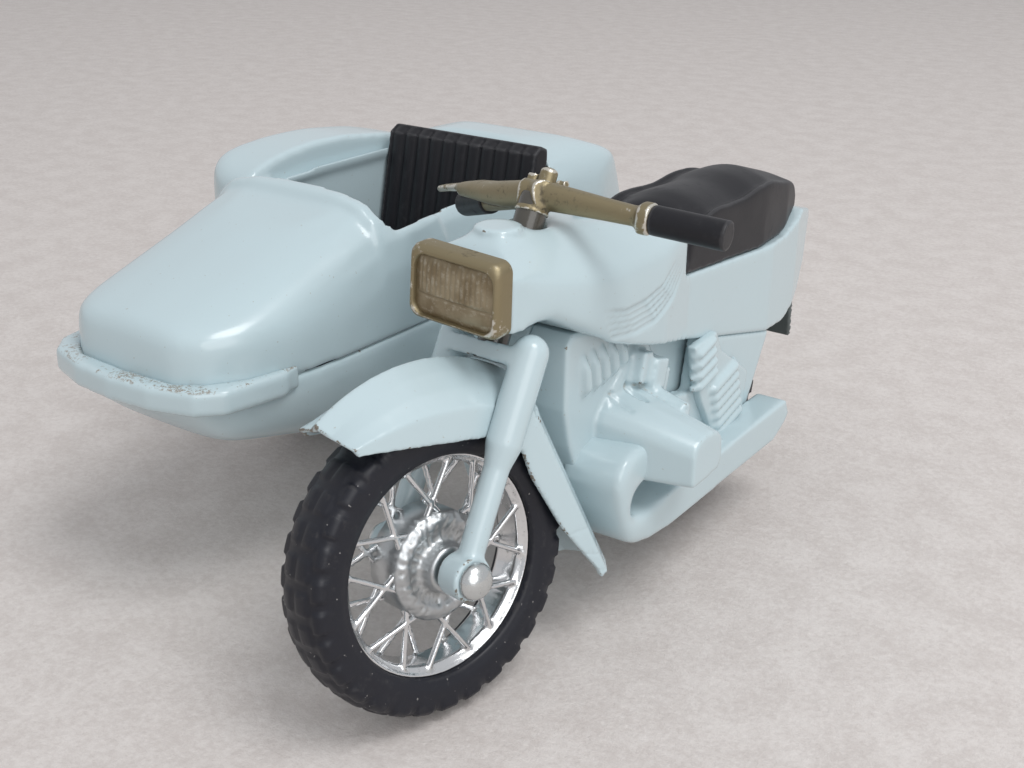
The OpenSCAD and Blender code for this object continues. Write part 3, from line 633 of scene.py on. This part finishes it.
# ---- Exhaust on each side ----
# A fat round pipe of the same casting that leaves the cylinder's front, bends down and back and ends in a
# long flat silencer, with a dark hollow between the pipe and the cylinder.
def exhaust_solids():
    elbow = slab([(26.5, 16), (26.5, 18), (21.6, 19.7), (19.2, 19.7), (17.5, 19.1), (16.4, 17.9),
                  (16.2, 16.6), (16.9, 13.9), (17.9, 11.5), (18.9, 10.0), (20.4, 9.2), (22.5, 8.9),
                  (27, 8.95), (27, 12.4), (21, 12.5), (19.5, 12.7), (19.0, 13.6), (19.1, 14.8),
                  (20, 15.5), (21.5, 15.7)], 3.2, 9.6)
    silencer = slab([(22, 8.9), (50.4, 9.1), (53.2, 10.4), (54, 11.3), (53, 13.2), (44, 13.1),
                     (27, 12.7), (22, 12.5)], 5.9, 9.7)
    web = slab([(30, 12.2), (40, 12.6), (37.5, 14.4), (32, 16.0), (30, 15.8)], 5.0, 8.4)
    tailpipe = barrel((7.8, 52.6, 11.6), (7.8, 54.2, 11.7), 0.9, 0.8)
    return [elbow, silencer, web, tailpipe]


def elbow_corners(p):
    """The front of the exhaust, where the pipe is round, out from the engine."""
    return fade(p[:, 1], 26, -5) * fade(np.abs(p[:, 0]), 5, 2)


for side in SIDES:
    exhaust = moulded(f"exhaust_{side}_casting", mirrored(exhaust_solids(), side), grain=0.2, soften=10)
    relax(exhaust, 50, elbow_corners)
    thinned(exhaust, 0.4)
    finished(exhaust, paint, "chassis", "paint", f"exhaust_{side}")


# ---- Rear frame plates and shock absorbers ----
# Flat plates of the casting that hold the rear axle, each with a moulded shock absorber in front of it: a few
# slanting coils at the top, a smooth knuckle, and a wider band of ribs that meets the silencer.
def shock_solids():
    solids = [slab([(35.2, 24.4), (40.0, 24.8), (41.4, 22.2), (44.6, 20.2), (48.4, 17.6), (47.6, 12.4),
                    (41, 12.4), (37.6, 17.4), (36, 20.6)], 5.6, 6.7)]
    for i in range(4):
        front, back, z = 36.0 + 0.12 * i, 39.0 + 0.3 * i, 23.4 - 1.25 * i
        solids.append(bent([(6.0, front - 0.6, z - 0.2), (6.75, front, z), (6.75, back, z + 0.75),
                            (6.0, back + 0.8, z + 0.9)], [0.4, 0.5, 0.5, 0.4], 10))
    for i in range(6):
        y, z = 38.8 + 0.35 * i, 18.4 - 1.15 * i
        solids.append(bent([(6.1, y, z - 0.2), (6.95, y + 0.7, z), (6.95, y + 5.6, z + 1.2),
                            (6.1, y + 6.6, z + 1.4)], [0.42, 0.54, 0.54, 0.42], 10))
    return solids


for side in SIDES:
    plate = moulded(f"rear_frame_{side}_plate", [cad(f"rear_frame_{side}")], grain=0.24, soften=4, keep=0.5)
    finished(plate, paint, "chassis", "paint", f"rear_frame_{side}")
    shock = moulded(f"shock_{side}_coils", mirrored(shock_solids(), side), grain=0.18, soften=9, keep=0.5)
    finished(shock, paint, "chassis", "paint", f"shock_{side}")


# ---- Rear mudguard strip ----
# A thin dark strip of unpainted plastic pressed into the rear arch; its end hangs out below the tail, cut
# ragged.
STRIP_END = 69.4


def ragged(p, n):
    teeth = np.abs(np.sin(p[:, 2] * 4.1) + 0.4 * np.sin(p[:, 2] * 9.7))
    return fade(p[:, 1], STRIP_END, 1.0) * 0.35 * teeth


strip = moulded("rear_strip", [cad("rear_mudguard")], grain=0.2, soften=3, keep=0.5)
sink(strip, ragged)
dark = moulded_plastic("dark_strip_plastic", colour=(0.085, 0.10, 0.10), pale=(0.20, 0.22, 0.22))
finished(strip, dark, "chassis", "dark_strip", "rear_mudguard")


# ---- Fork ----
# One casting: two straight legs with a step where the lower tube meets the upper, round bosses for the axle
# and rounded tops beside the headlight, painted with the body. Its stem is painted near black: painted shade
# under the handlebar, with some dirt.
axle_way = Vector(joints["front_wheel_spin"]["axis"]).normalized()
steer_way = Vector(joints["steering"]["axis"]).normalized()
fork_back = steer_way.cross(axle_way).normalized()


def on_fork(x, forwards, up):
    """A point in mm from the front hub: x along the axle, and forwards and up as the fork leans."""
    p = front_hub / MM + axle_way * x - fork_back * forwards + steer_way * up
    return p - Vector((front_hub.x, front_hub.y, 0)) / MM


fork = moulded("fork_legs", [cad("fork_casting")], grain=0.2, soften=6, keep=0.7)
finished(fork, sprayed_paint("fork_paint", chips=0.03, darker_by=0.12), "fork", "paint", "fork_casting")
stem = moulded("fork_stem", [cad("steering_stem")], grain=0.16, soften=4, keep=0.6)
# The stem is painted near black: painted shade for the dark place under the handlebar, with some dirt.
stem_shade_paint = sprayed_paint("stem_painted_shade", colour=(0.055, 0.05, 0.04), chips=-0.3)
finished(stem, stem_shade_paint, "fork", "paint", "steering_stem")


# ---- Front mudguard ----
# A thin painted casting that turns with the fork: a soft ridge, a crease along each side, deep skirts over
# the tyre and a long straight flap behind it, whose paint has cracked across.
CROWN_R, CAD_SKIRT_R, SKIRT_X = 17, 12.8, 3.2
FLAP_BACK, FLAP_UP, FLAP_TOP, FLAP_SKIRT = 12.95, 12.5, 18, 15
# A step of 1 down the flap goes this far back and this far down.
STEP_BACK, STEP_DOWN = 0.375, 0.927
rake = math.acos(steer_way.z)
wheel_back = fork_back * math.cos(rake) + steer_way * math.sin(rake)
wheel_up = steer_way * math.cos(rake) - fork_back * math.sin(rake)


def trim_skirts(obj):
    """The skirts run out at the front tip, hang lowest over the axle, and are deep along the flap."""
    out = (mesh_points(obj.data) - np.array(front_hub)) / MM
    across, back, up = (out @ np.array(way) for way in (axle_way, wheel_back, wheel_up))
    radius, angle = np.hypot(back, up), np.degrees(np.arctan2(up, -back))
    lowest = np.interp(angle, [57, 60, 66, 72, 78, 84, 90, 96, 108, 120, 134],
                       [15.7, 15.1, 13.9, 13.05, 12.4, 11.95, 11.65, 11.45, 11.55, 12.0, 12.4])
    longer = (CROWN_R - lowest) / (CROWN_R - CAD_SKIRT_R)
    over_tyre = (radius < CROWN_R) & (angle > 50) & (angle < 134)
    stretch = np.where(over_tyre, CROWN_R - (CROWN_R - radius) * longer, radius) / radius - 1

    down_flap = STEP_BACK * (back - FLAP_BACK) - STEP_DOWN * (up - FLAP_UP)
    above_flap = FLAP_TOP + STEP_DOWN * (back - FLAP_BACK) + STEP_BACK * (up - FLAP_UP)
    deeper = np.interp(down_flap, [-0.5, 1.5, 5, 12, 18.5], [1.0, 1.7, 1.9, 1.5, 0.5])
    skirt = (down_flap > -0.5) & (above_flap < FLAP_SKIRT) & (np.abs(across) > SKIRT_X)
    push = np.where(skirt, (FLAP_SKIRT - above_flap) * (deeper - 1), 0)

    shift_back = back * stretch - STEP_DOWN * push
    shift_up = up * stretch - STEP_BACK * push
    out = out + np.outer(shift_back, wheel_back) + np.outer(shift_up, wheel_up)
    set_points(obj.data, out * MM + np.array(front_hub))


def guard_cracks(p, n):
    """Fine cracks across the flap, which run a little up and down."""
    height = p[:, 2] + 0.5 * p[:, 0] + 0.35 * np.sin(p[:, 0] * 2.3)
    cracks = sum(groove(np.abs(height - z), 0.16) for z in (9.2, 11.1, 13.2, 14.6, 16.9))
    return 0.06 * fade(p[:, 2], 22, -3) * (p[:, 1] > 6) * cracks


guard = moulded("front_guard", [cad("front_mudguard")], grain=0.16, soften=8)
trim_skirts(guard)
sink(guard, guard_cracks)
thinned(guard, 0.5)
finished(guard, sprayed_paint("guard_paint", chips=0.08), "fork", "paint", "front_mudguard")


# ---- Handlebar, dials and grips ----
# A plated plastic bar pressed on the stem: round on the rider's left up to a bright collar, and a flat paddle
# on the right that runs on past the grip. Three short studs stand behind the clamp. The grips are black.
BAR_UP = 33.2
left_way = Vector(next(m for m in frame["record"]["mounts"] if m["name"] == "grip_left")["axis"])
right_way = left_way - 2 * left_way.dot(axle_way) * axle_way
lever_way = Matrix.Rotation(math.radians(6), 3, "Z") @ right_way


def by_clamp(x, forwards, up):
    """A point in mm from the middle of the bar, in the directions of on_fork()."""
    return on_fork(x, forwards, BAR_UP + up)


def squarish(c):
    """Takes the cosine or sine of a circle to that of a slightly square one."""
    return math.copysign(abs(c) ** 0.75, c)


def bar_shape(way, stations):
    """A soft bar from the stem along way through (distance, rise, half height, half depth) stations."""
    up = (Vector((0, 0, 1)) - way * way.z).normalized()
    fore = up.cross(way)
    rings = []
    for along, rise, tall, deep in stations:
        centre = by_clamp(0, 0, 0) + way * along
        rings.append([at(*(centre + up * (rise + tall * squarish(s)) + fore * deep * squarish(c)))
                      for c, s in circle(24)])
    return solid(rings)


left_stations = [(-1.5, 0, 1.2, 1.0), (1.5, 0.05, 1.22, 1.05), (4, 0.05, 1.1, 1.0), (7, 0.02, 0.95, 0.9),
                 (9.6, 0, 0.86, 0.86), (9.9, 0, 1.0, 1.0), (10.2, 0, 1.36, 1.36), (11.1, 0, 1.36, 1.36),
                 (11.2, 0, 1.2, 1.2), (11.3, 0, 0.85, 0.85), (17, 0, 0.8, 0.8)]
right_stations = [(-1.5, 0, 1.2, 1.0), (1.5, 0, 1.2, 1.1), (6, 0, 1.1, 1.0), (11.3, 0, 1.05, 1.05),
                  (11.4, 0, 0.85, 0.85), (17, 0, 0.8, 0.8)]
lever_stations = [(-1, 0.1, 1.15, 1.0), (2, 0.2, 1.2, 1.2), (5, 0.35, 1.2, 1.4), (8, 0.65, 1.05, 1.5),
                  (11, 1.1, 0.9, 1.4), (13.6, 1.35, 0.72, 1.15), (14.6, 1.6, 0.42, 0.8),
                  (18, 1.75, 0.36, 0.6), (19.4, 1.75, 0.34, 0.5), (19.9, 1.75, 0.2, 0.25)]
bar_solids = [bar_shape(left_way, left_stations), bar_shape(right_way, right_stations),
              bar_shape(lever_way, lever_stations),
              barrel(by_clamp(0, 0, -1.7), by_clamp(0, 0, -0.2), 1.6, 1.0)]
bar = moulded("handlebar_bar", bar_solids, grain=0.14, soften=4, keep=0.7)
finished(bar, gold, "fork", "gold_plate", "handlebar")

tall_stud = barrel(by_clamp(-0.9, -1.5, 0.6), by_clamp(-0.9, -1.5, 2.5), 0.85, 0.8, dome=0.4)
short_stud = barrel(by_clamp(-2.3, -1.2, 0.6), by_clamp(-2.3, -1.2, 2.1), 0.66, 0.62)
hooked_stud = bent([by_clamp(0.1, -1.8, 0.6), by_clamp(0.7, -1.9, 1.6), by_clamp(1.3, -1.9, 1.6)],
                   [0.6, 0.52, 0.42], 12)
ridge = bent([by_clamp(-2.6, -1.1, 0.4), by_clamp(-0.6, -1.4, 0.7), by_clamp(1.2, -1.7, 0.4)],
             [0.7, 0.9, 0.7], 14)
pods = moulded("dial_studs", [tall_stud, short_stud, hooked_stud, ridge], grain=0.1, soften=3, keep=0.6)
finished(pods, gold, "fork", "gold_plate", "instrument_pods")

for side in SIDES:
    grip = moulded(f"grip_{side}_sleeve", [cad(f"grip_{side}")], grain=0.14, soften=4, keep=0.6)
    finished(grip, black_plastic, "fork", "grip_black", f"grip_{side}")


# ---- Wheel rims ----
# Plated plastic: a stepped rim, eight crossed pairs of spokes in each of two layers, and a drum whose face is
# coarse and pitted around a round boss. All three are alike.
def bright_plating(name, rough=0.16, pitted=0.0, tone=(0.74, 0.75, 0.76)):
    """Bright plating over plastic, with slight ripples, and pits where the moulding is coarse."""
    f = Finish(name, Specular_IOR_Level=0.5)
    dull = (f.noise(1.2, 5, 0.7) - f.edge() * 0.35 - 0.1).ramp(0.45, 0.62)
    height = f.noise(1.5, 2) * 0.4 + f.noise(0.4, 5, 0.75) * (0.25 + pitted)
    return f.show(Base_Color=f.mix(dull * 0.6, tone, (0.32, 0.32, 0.31)),
                  Metallic=1.0 - dull * 0.35,
                  Roughness=rough + dull * 0.25 + pitted * 0.15,
                  Normal=f.bump(height, 0.06, 0.6 + pitted))


RIM_R, DRUM_R, HUB_W, TYRE_W, BORE = 10.0, 4.9, 6.4, 5.8, 0.95
RIM_HALF = TYRE_W / 2 - 0.9
SPOKE_PAIRS, LAYER_X = 8, 1.4


def wheel_ring(profile, c, s):
    """A profile of (x, radius) points in mm, turned about the x axis to the direction (c, s)."""
    return [Vector((x, r * c, r * s)) * MM for x, r in profile]


def turned(profile, steps):
    """A closed ring turned about the x axis from a profile of (x, radius) points, in mm at the origin."""
    return solid([wheel_ring(profile, c, s) for c, s in circle(steps)], "joined")


def spoke(layer, angle, lean):
    """One flat-backed moulded spoke; with its mirror image it crosses halfway from the drum to the rim."""
    start, stop = angle - lean * math.radians(12), angle + lean * math.radians(14)
    root = Vector((0, math.cos(start), math.sin(start))) * (DRUM_R - 0.5)
    end = Vector((0, math.cos(stop), math.sin(stop))) * (RIM_R - 0.5)
    side = Vector((1, 0, 0)).cross((end - root).normalized())
    outwards = Vector((math.copysign(1, layer), 0, 0))
    section = [(-0.25, -0.22), (0.25, -0.22), (0.24, 0.12), (0.1, 0.3), (-0.1, 0.3), (-0.24, 0.12)]
    return solid([[(p + Vector((layer, 0, 0)) + side * across + outwards * out) * MM
                   for across, out in section] for p in (root, end)])


def rim_solids():
    """The rim, whose lip has two steps on each side, and its spokes; those of one layer lie between the
    other's."""
    lip = [(0.0, RIM_R), (0.02, 9.86), (-0.1, 9.72), (-0.34, 9.66), (-0.42, 9.45), (-0.62, 9.2), (-0.8, 9.12)]
    profile = [(RIM_HALF + x, r) for x, r in lip] + [(-RIM_HALF - x, r) for x, r in lip[::-1]]
    solids = [turned(profile, 128)]
    for layer, offset in ((-LAYER_X, 0.5), (LAYER_X, 0)):
        for i in range(SPOKE_PAIRS):
            for lean in (-1, 1):
                solids.append(spoke(layer, 2 * math.pi * (i + offset) / SPOKE_PAIRS, lean))
    return solids


def drum_mesh():
    """The drum: a raised outer ring, a dished face and a boss on each side, with the bore through it."""
    face = [(1.7, DRUM_R), (2.0, DRUM_R - 0.35), (2.22, DRUM_R - 0.7), (2.24, DRUM_R - 1.2),
            (1.95, DRUM_R - 1.6), (1.85, 2.5), (2.2, 2.2), (HUB_W / 2 - 0.2, 2.1), (HUB_W / 2, 1.9),
            (HUB_W / 2, BORE)]
    return turned(face + [(-x, r) for x, r in face[::-1]], 96)


def pit(obj, depth, size, seed):
    """Coarse, lumpy moulding on a drum's faces, outside its boss."""
    for v in obj.data.vertices:
        if abs(v.co.x) > 1.5 * MM and math.hypot(v.co.y, v.co.z) > 2.3 * MM:
            lump = noise.noise(v.co / (size * MM) + Vector((seed, 0, 0)))
            v.co.x += depth * MM * lump * math.copysign(1, v.co.x)


sideways = Vector((1, 0, 0))
wheels = {"front": (front_hub, axle_way),
          "rear": (Vector(joints["rear_wheel_spin"]["pos_m"]), sideways),
          "sidecar": (Vector(joints["sidecar_wheel_spin"]["pos_m"]), sideways)}


def on_hub(wheel, name, mesh):
    """A copy of a mesh that is drawn about the x axis, as a piece on the hub of a wheel."""
    hub, way = wheels[wheel]
    part = piece(f"{wheel}_{name}", mesh.copy())
    turn = sideways.rotation_difference(way).to_matrix().to_4x4()
    part.data.transform(Matrix.Translation(hub) @ turn)
    return part


chrome = bright_plating("bright_plating")
pitted = bright_plating("pitted_plating", rough=0.3, pitted=0.25, tone=(0.50, 0.52, 0.53))
spoked = moulded("spoked", rim_solids(), grain=0.15, soften=3, keep=0.32)
drum = piece("drum", drum_mesh())
modified(drum, "SUBSURF", subdivision_type="SIMPLE", levels=1)
pit(drum, depth=0.16, size=0.45, seed=3.1)
for wheel in wheels:
    rim = on_hub(wheel, "spoked_rim", spoked.data)
    finished(rim, chrome, f"{wheel}_wheel", "chrome", f"{wheel}_rim")
    hub_drum = on_hub(wheel, "drum", drum.data)
    finished(hub_drum, pitted, f"{wheel}_wheel", "chrome")
bpy.data.objects.remove(spoked)
bpy.data.objects.remove(drum)


# ---- Tyres ----
# Soft black rubber stretched on the rim: smooth sidewalls with a bead line, and a tread of square blocks
# whose outer rows stand out past the shoulder.
TREAD_BLOCKS, TREAD_ROWS = 30, 4
WIDEST_R, SHOULDER_R = 11.6, 12.55


def rubber(name):
    f = Finish(name, Roughness=0.5, Specular_IOR_Level=0.4)
    dust = (f.noise(0.8, 5, 0.7) + f.edge() * 0.25).ramp(0.56, 0.74) * f.noise(5, 2).ramp(0.35, 0.6)
    fleck = f.noise(0.32, 1, 0.3).ramp(0.77, 0.8)
    black = f.mix(dust * 0.25, (0.009, 0.010, 0.016), (0.10, 0.095, 0.09))
    return f.show(Base_Color=f.mix(fleck * 0.6, black, (0.35, 0.34, 0.33)),
                  Roughness=0.38 + dust * 0.3 + f.noise(2, 3) * 0.1,
                  Normal=f.bump(f.noise(0.5, 3) * 0.5 + f.noise(3, 2), 0.05, 0.5))


def tread(across, turn):
    """How far the blocks stand out in mm, and which part of that also goes sideways, at a place that is
    across rows from the tread's left edge and a turn from 0 to 1 round the tyre."""
    row, inside = int(min(across, TREAD_ROWS - 0.001)), across % 1
    outer = row in (0, TREAD_ROWS - 1)
    phase = (turn * TREAD_BLOCKS + (0.5 if outer else 0.0)) % 1
    wall = min(phase, 1 - phase) * 2
    if outer:
        gap = 1 - inside if row == 0 else inside
    else:
        gap = min(inside, 1 - inside)
    high = min(1, max(0, (wall - 0.26) / 0.16)) * min(1, max(0, (gap - 0.04) / 0.16))
    return (0.3 if outer else 0.2) * high, 0.8 if outer else 1


def tyre_mesh():
    """A round section with the bead at the rim and tread blocks in four rows."""
    half, steps = TYRE_W / 2, 400
    side = [(RIM_HALF, 9.98), (half - 0.55, 9.96), (half - 0.32, 10.12), (half - 0.28, 10.35),
            (half - 0.14, 10.6), (half - 0.02, 11.1), (half, WIDEST_R), (half - 0.04, 12.1),
            (half - 0.16, SHOULDER_R)]
    arc = [math.radians(12 + 156 * i / 22) for i in range(23)]
    crown = [(math.cos(a) * (half - 0.22), SHOULDER_R + math.sin(a) + 0.02) for a in arc]
    first, last = len(side) - 1, len(side) + len(crown)
    profile = side + crown + [(-x, r) for x, r in side[::-1]]
    rings = []
    for k, (c, s) in enumerate(circle(steps)):
        ring = list(profile)
        for i in range(first, last + 1):
            x, r = profile[i]
            tall, sideways_part = tread((i - first) / (last - first) * TREAD_ROWS, k / steps)
            lean = math.atan2(r - WIDEST_R, x)
            ring[i] = (x + tall * math.cos(lean) * sideways_part, r + tall * math.sin(lean))
        rings.append(wheel_ring(ring, c, s))
    return solid(rings, "joined")


black_rubber = rubber("black_rubber")
treaded = tyre_mesh()
for wheel in wheels:
    tyre = on_hub(wheel, "treaded_tyre", treaded)
    finished(tyre, black_rubber, f"{wheel}_wheel", "tyre", f"{wheel}_tyre")


# ---- Axles ----
# Steel pins pushed through the hubs and spread into domed heads; the rear one ends flush with its plates.
def bare_steel(name):
    f = Finish(name, Specular_IOR_Level=0.5)
    dirt = (f.noise(0.5, 4, 0.7) - f.edge() * 0.3).ramp(0.52, 0.66)
    return f.show(Base_Color=f.mix(dirt * 0.6, (0.62, 0.64, 0.64), (0.25, 0.24, 0.22)),
                  Metallic=0.95 - dirt * 0.4,
                  Roughness=0.26 + dirt * 0.3,
                  Normal=f.bump(f.noise(0.6, 3), 0.05, 0.5))


steel = bare_steel("bare_steel")
for node, body_name in (("front_axle", "fork"), ("rear_axle", "chassis"), ("sidecar_axle", "chassis")):
    pin = moulded(f"{node}_pin", [cad(node)], grain=0.12, soften=3, keep=0.5)
    finished(pin, steel, body_name, "steel", node)


# ---- Sidecar body ----
# Two castings that meet at the bumper: the upper shell carries the cowl, the open cockpit and the wheel's
# mudguard, and the lower pan the floor. Inside they are bare and hollow.
def cowl(p):
    """The nose of the upper shell, which is rounded off most."""
    return fade(p[:, 1], 15, -4) * fade(p[:, 2], 25, 2)


def rear_deck(p):
    """The deck behind the seat, round to the back."""
    return fade(p[:, 1], 53, 4) * fade(p[:, 2], 25, 2)


def wheel_arch(p):
    """The outer half of the sidecar's mudguard."""
    return fade(p[:, 0], -46, -1.5) * fade(p[:, 2], 30, 3)


def pan_below_rim(p):
    """The pan without its rim and the boss of its axle."""
    return fade(p[:, 0], -44, 2) * fade(p[:, 2], 22.5, -2)


shell = moulded("sidecar_upper_casting", [cad("sidecar_shell")], grain=0.33, soften=16)
relax(shell, 50, cowl)
relax(shell, 60, rear_deck)
relax(shell, 60, wheel_arch)
thinned(shell, 0.6)
finished(shell, paint, "chassis", "paint", "sidecar_shell")
pan = moulded("sidecar_lower_casting", [cad("sidecar_pan")], grain=0.36, soften=16)
relax(pan, 120, pan_below_rim)
thinned(pan, 0.5)
finished(pan, paint, "chassis", "paint", "sidecar_pan")
arms = moulded("sidecar_arms_casting", [cad("sidecar_arms")], grain=0.2, soften=4, keep=0.5)
finished(arms, paint, "chassis", "paint", "sidecar_arms")


# ---- Sidecar bumper ----
# A raised band around the nose at the seam, cast with a flat ledge on top where dirt has settled.
def fuller_nose(p, n):
    """Lets the band stand out more around the nose, apart from its flat top."""
    return -0.35 * np.clip(0.6 - n[:, 2], 0, 1) * (p[:, 1] < 4)


bumper = moulded("bumper_band", [cad("sidecar_bumper")], grain=0.2, soften=4)
sink(bumper, fuller_nose)
relax(bumper, 8, lambda p: np.ones(len(p)))
thinned(bumper, 0.5)
ledge_paint = sprayed_paint("ledge_paint", chips=-0.08, crumbs=0.015)
finished(bumper, ledge_paint, "chassis", "paint", "sidecar_bumper")


# ---- Sidecar seat ----
# Black moulded plastic dropped into the cockpit: a flat base, and a back whose front is pleated upright under
# a smooth rolled top.
SEAT_X, SEAT_HALF, PLEAT_W = -32.6, 11.0, 1.95


def pleats(p, n):
    """Upright round pleats on the front of the seat back, up to a plain margin at each side."""
    across = p[:, 0] - SEAT_X
    pleated = fade(n[:, 1], -0.3, -0.3) * fade(across, -SEAT_HALF, 0.5) * fade(across, SEAT_HALF - 0.2, -0.5)
    wave = np.abs(np.cos(across / PLEAT_W * math.pi)) ** 0.7
    return pleated * (0.5 - 0.5 * wave)


back = moulded("sidecar_seat_pleats", [cad("sidecar_seat_back")], grain=0.2, soften=6)
sink(back, pleats)
thinned(back, 0.5)
finished(back, black_plastic, "chassis", "seat_black", "sidecar_seat_back")
cushion = moulded("sidecar_seat_bench", [cad("sidecar_seat_base")], grain=0.3, soften=6, keep=0.5)
finished(cushion, black_plastic, "chassis", "seat_black", "sidecar_seat_base")


# ---- Floor, light and camera ----
# The toy stands on a plain pale floor of felt, under one broad soft lamp, a weaker one from the front, and an
# even pale room.
def pale_felt(name):
    f = Finish(name, Roughness=0.9, Specular_IOR_Level=0.2)
    felt = (f.noise(0.9, 5, 0.8) + f.noise(5, 3) * 0.5 - 0.25).ramp(0.3, 0.7)
    return f.show(Base_Color=f.mix(felt, (0.575, 0.53, 0.505), (0.675, 0.635, 0.61)),
                  Normal=f.bump(f.noise(0.8, 5, 0.75), 0.3, 0.5))


FLOOR_HALF = 3.0
corners = [(-FLOOR_HALF, -FLOOR_HALF, 0), (FLOOR_HALF, -FLOOR_HALF, 0), (FLOOR_HALF, FLOOR_HALF, 0),
           (-FLOOR_HALF, FLOOR_HALF, 0)]
floor_mesh = bpy.data.meshes.new("floor")
floor_mesh.from_pydata(corners, [], [(0, 1, 2, 3)])
floor = piece("floor", floor_mesh)
floor.data.materials.append(pale_felt("pale_floor"))

world = bpy.data.worlds.new("room")
bpy.context.scene.world = world
world.use_nodes = True
background = world.node_tree.nodes["Background"]
background.inputs["Color"].default_value = (0.96, 0.97, 1.0, 1)
background.inputs["Strength"].default_value = 0.62


def soft_lamp(name, place, size, power):
    """A round lamp that points at the toy; place and size are in metres."""
    light = bpy.data.lights.new(name, "AREA")
    light.shape, light.size, light.energy = "DISK", size, power
    lamp = bpy.data.objects.new(name, light)
    bpy.context.scene.collection.objects.link(lamp)
    lamp.location = place
    lamp.rotation_euler = (Vector((0, 0, 0.02)) - Vector(place)).to_track_quat("-Z", "Y").to_euler()


soft_lamp("main_lamp", (0.40, -0.06, 0.76), size=0.42, power=3.0)
soft_lamp("fill_lamp", (0.45, -0.30, 0.30), size=0.5, power=1.1)

YAW, PITCH, ROLL = math.radians(35.17), math.radians(22.9), math.radians(0.59)
lens_data = bpy.data.cameras.new("camera")
lens_data.sensor_width, lens_data.lens = 36, 45.7784
lens_data.clip_start, lens_data.clip_end = 0.005, 20
camera = bpy.data.objects.new("camera", lens_data)
bpy.context.scene.collection.objects.link(camera)
camera.location = at(62.45, -76.25, 72.28)
camera.rotation_euler = (Matrix.Rotation(YAW, 3, "Z") @ Matrix.Rotation(math.pi / 2 - PITCH, 3, "X")
                         @ Matrix.Rotation(ROLL, 3, "Z")).to_euler()
bpy.context.scene.camera = camera
bpy.context.scene.view_settings.view_transform = "Standard"
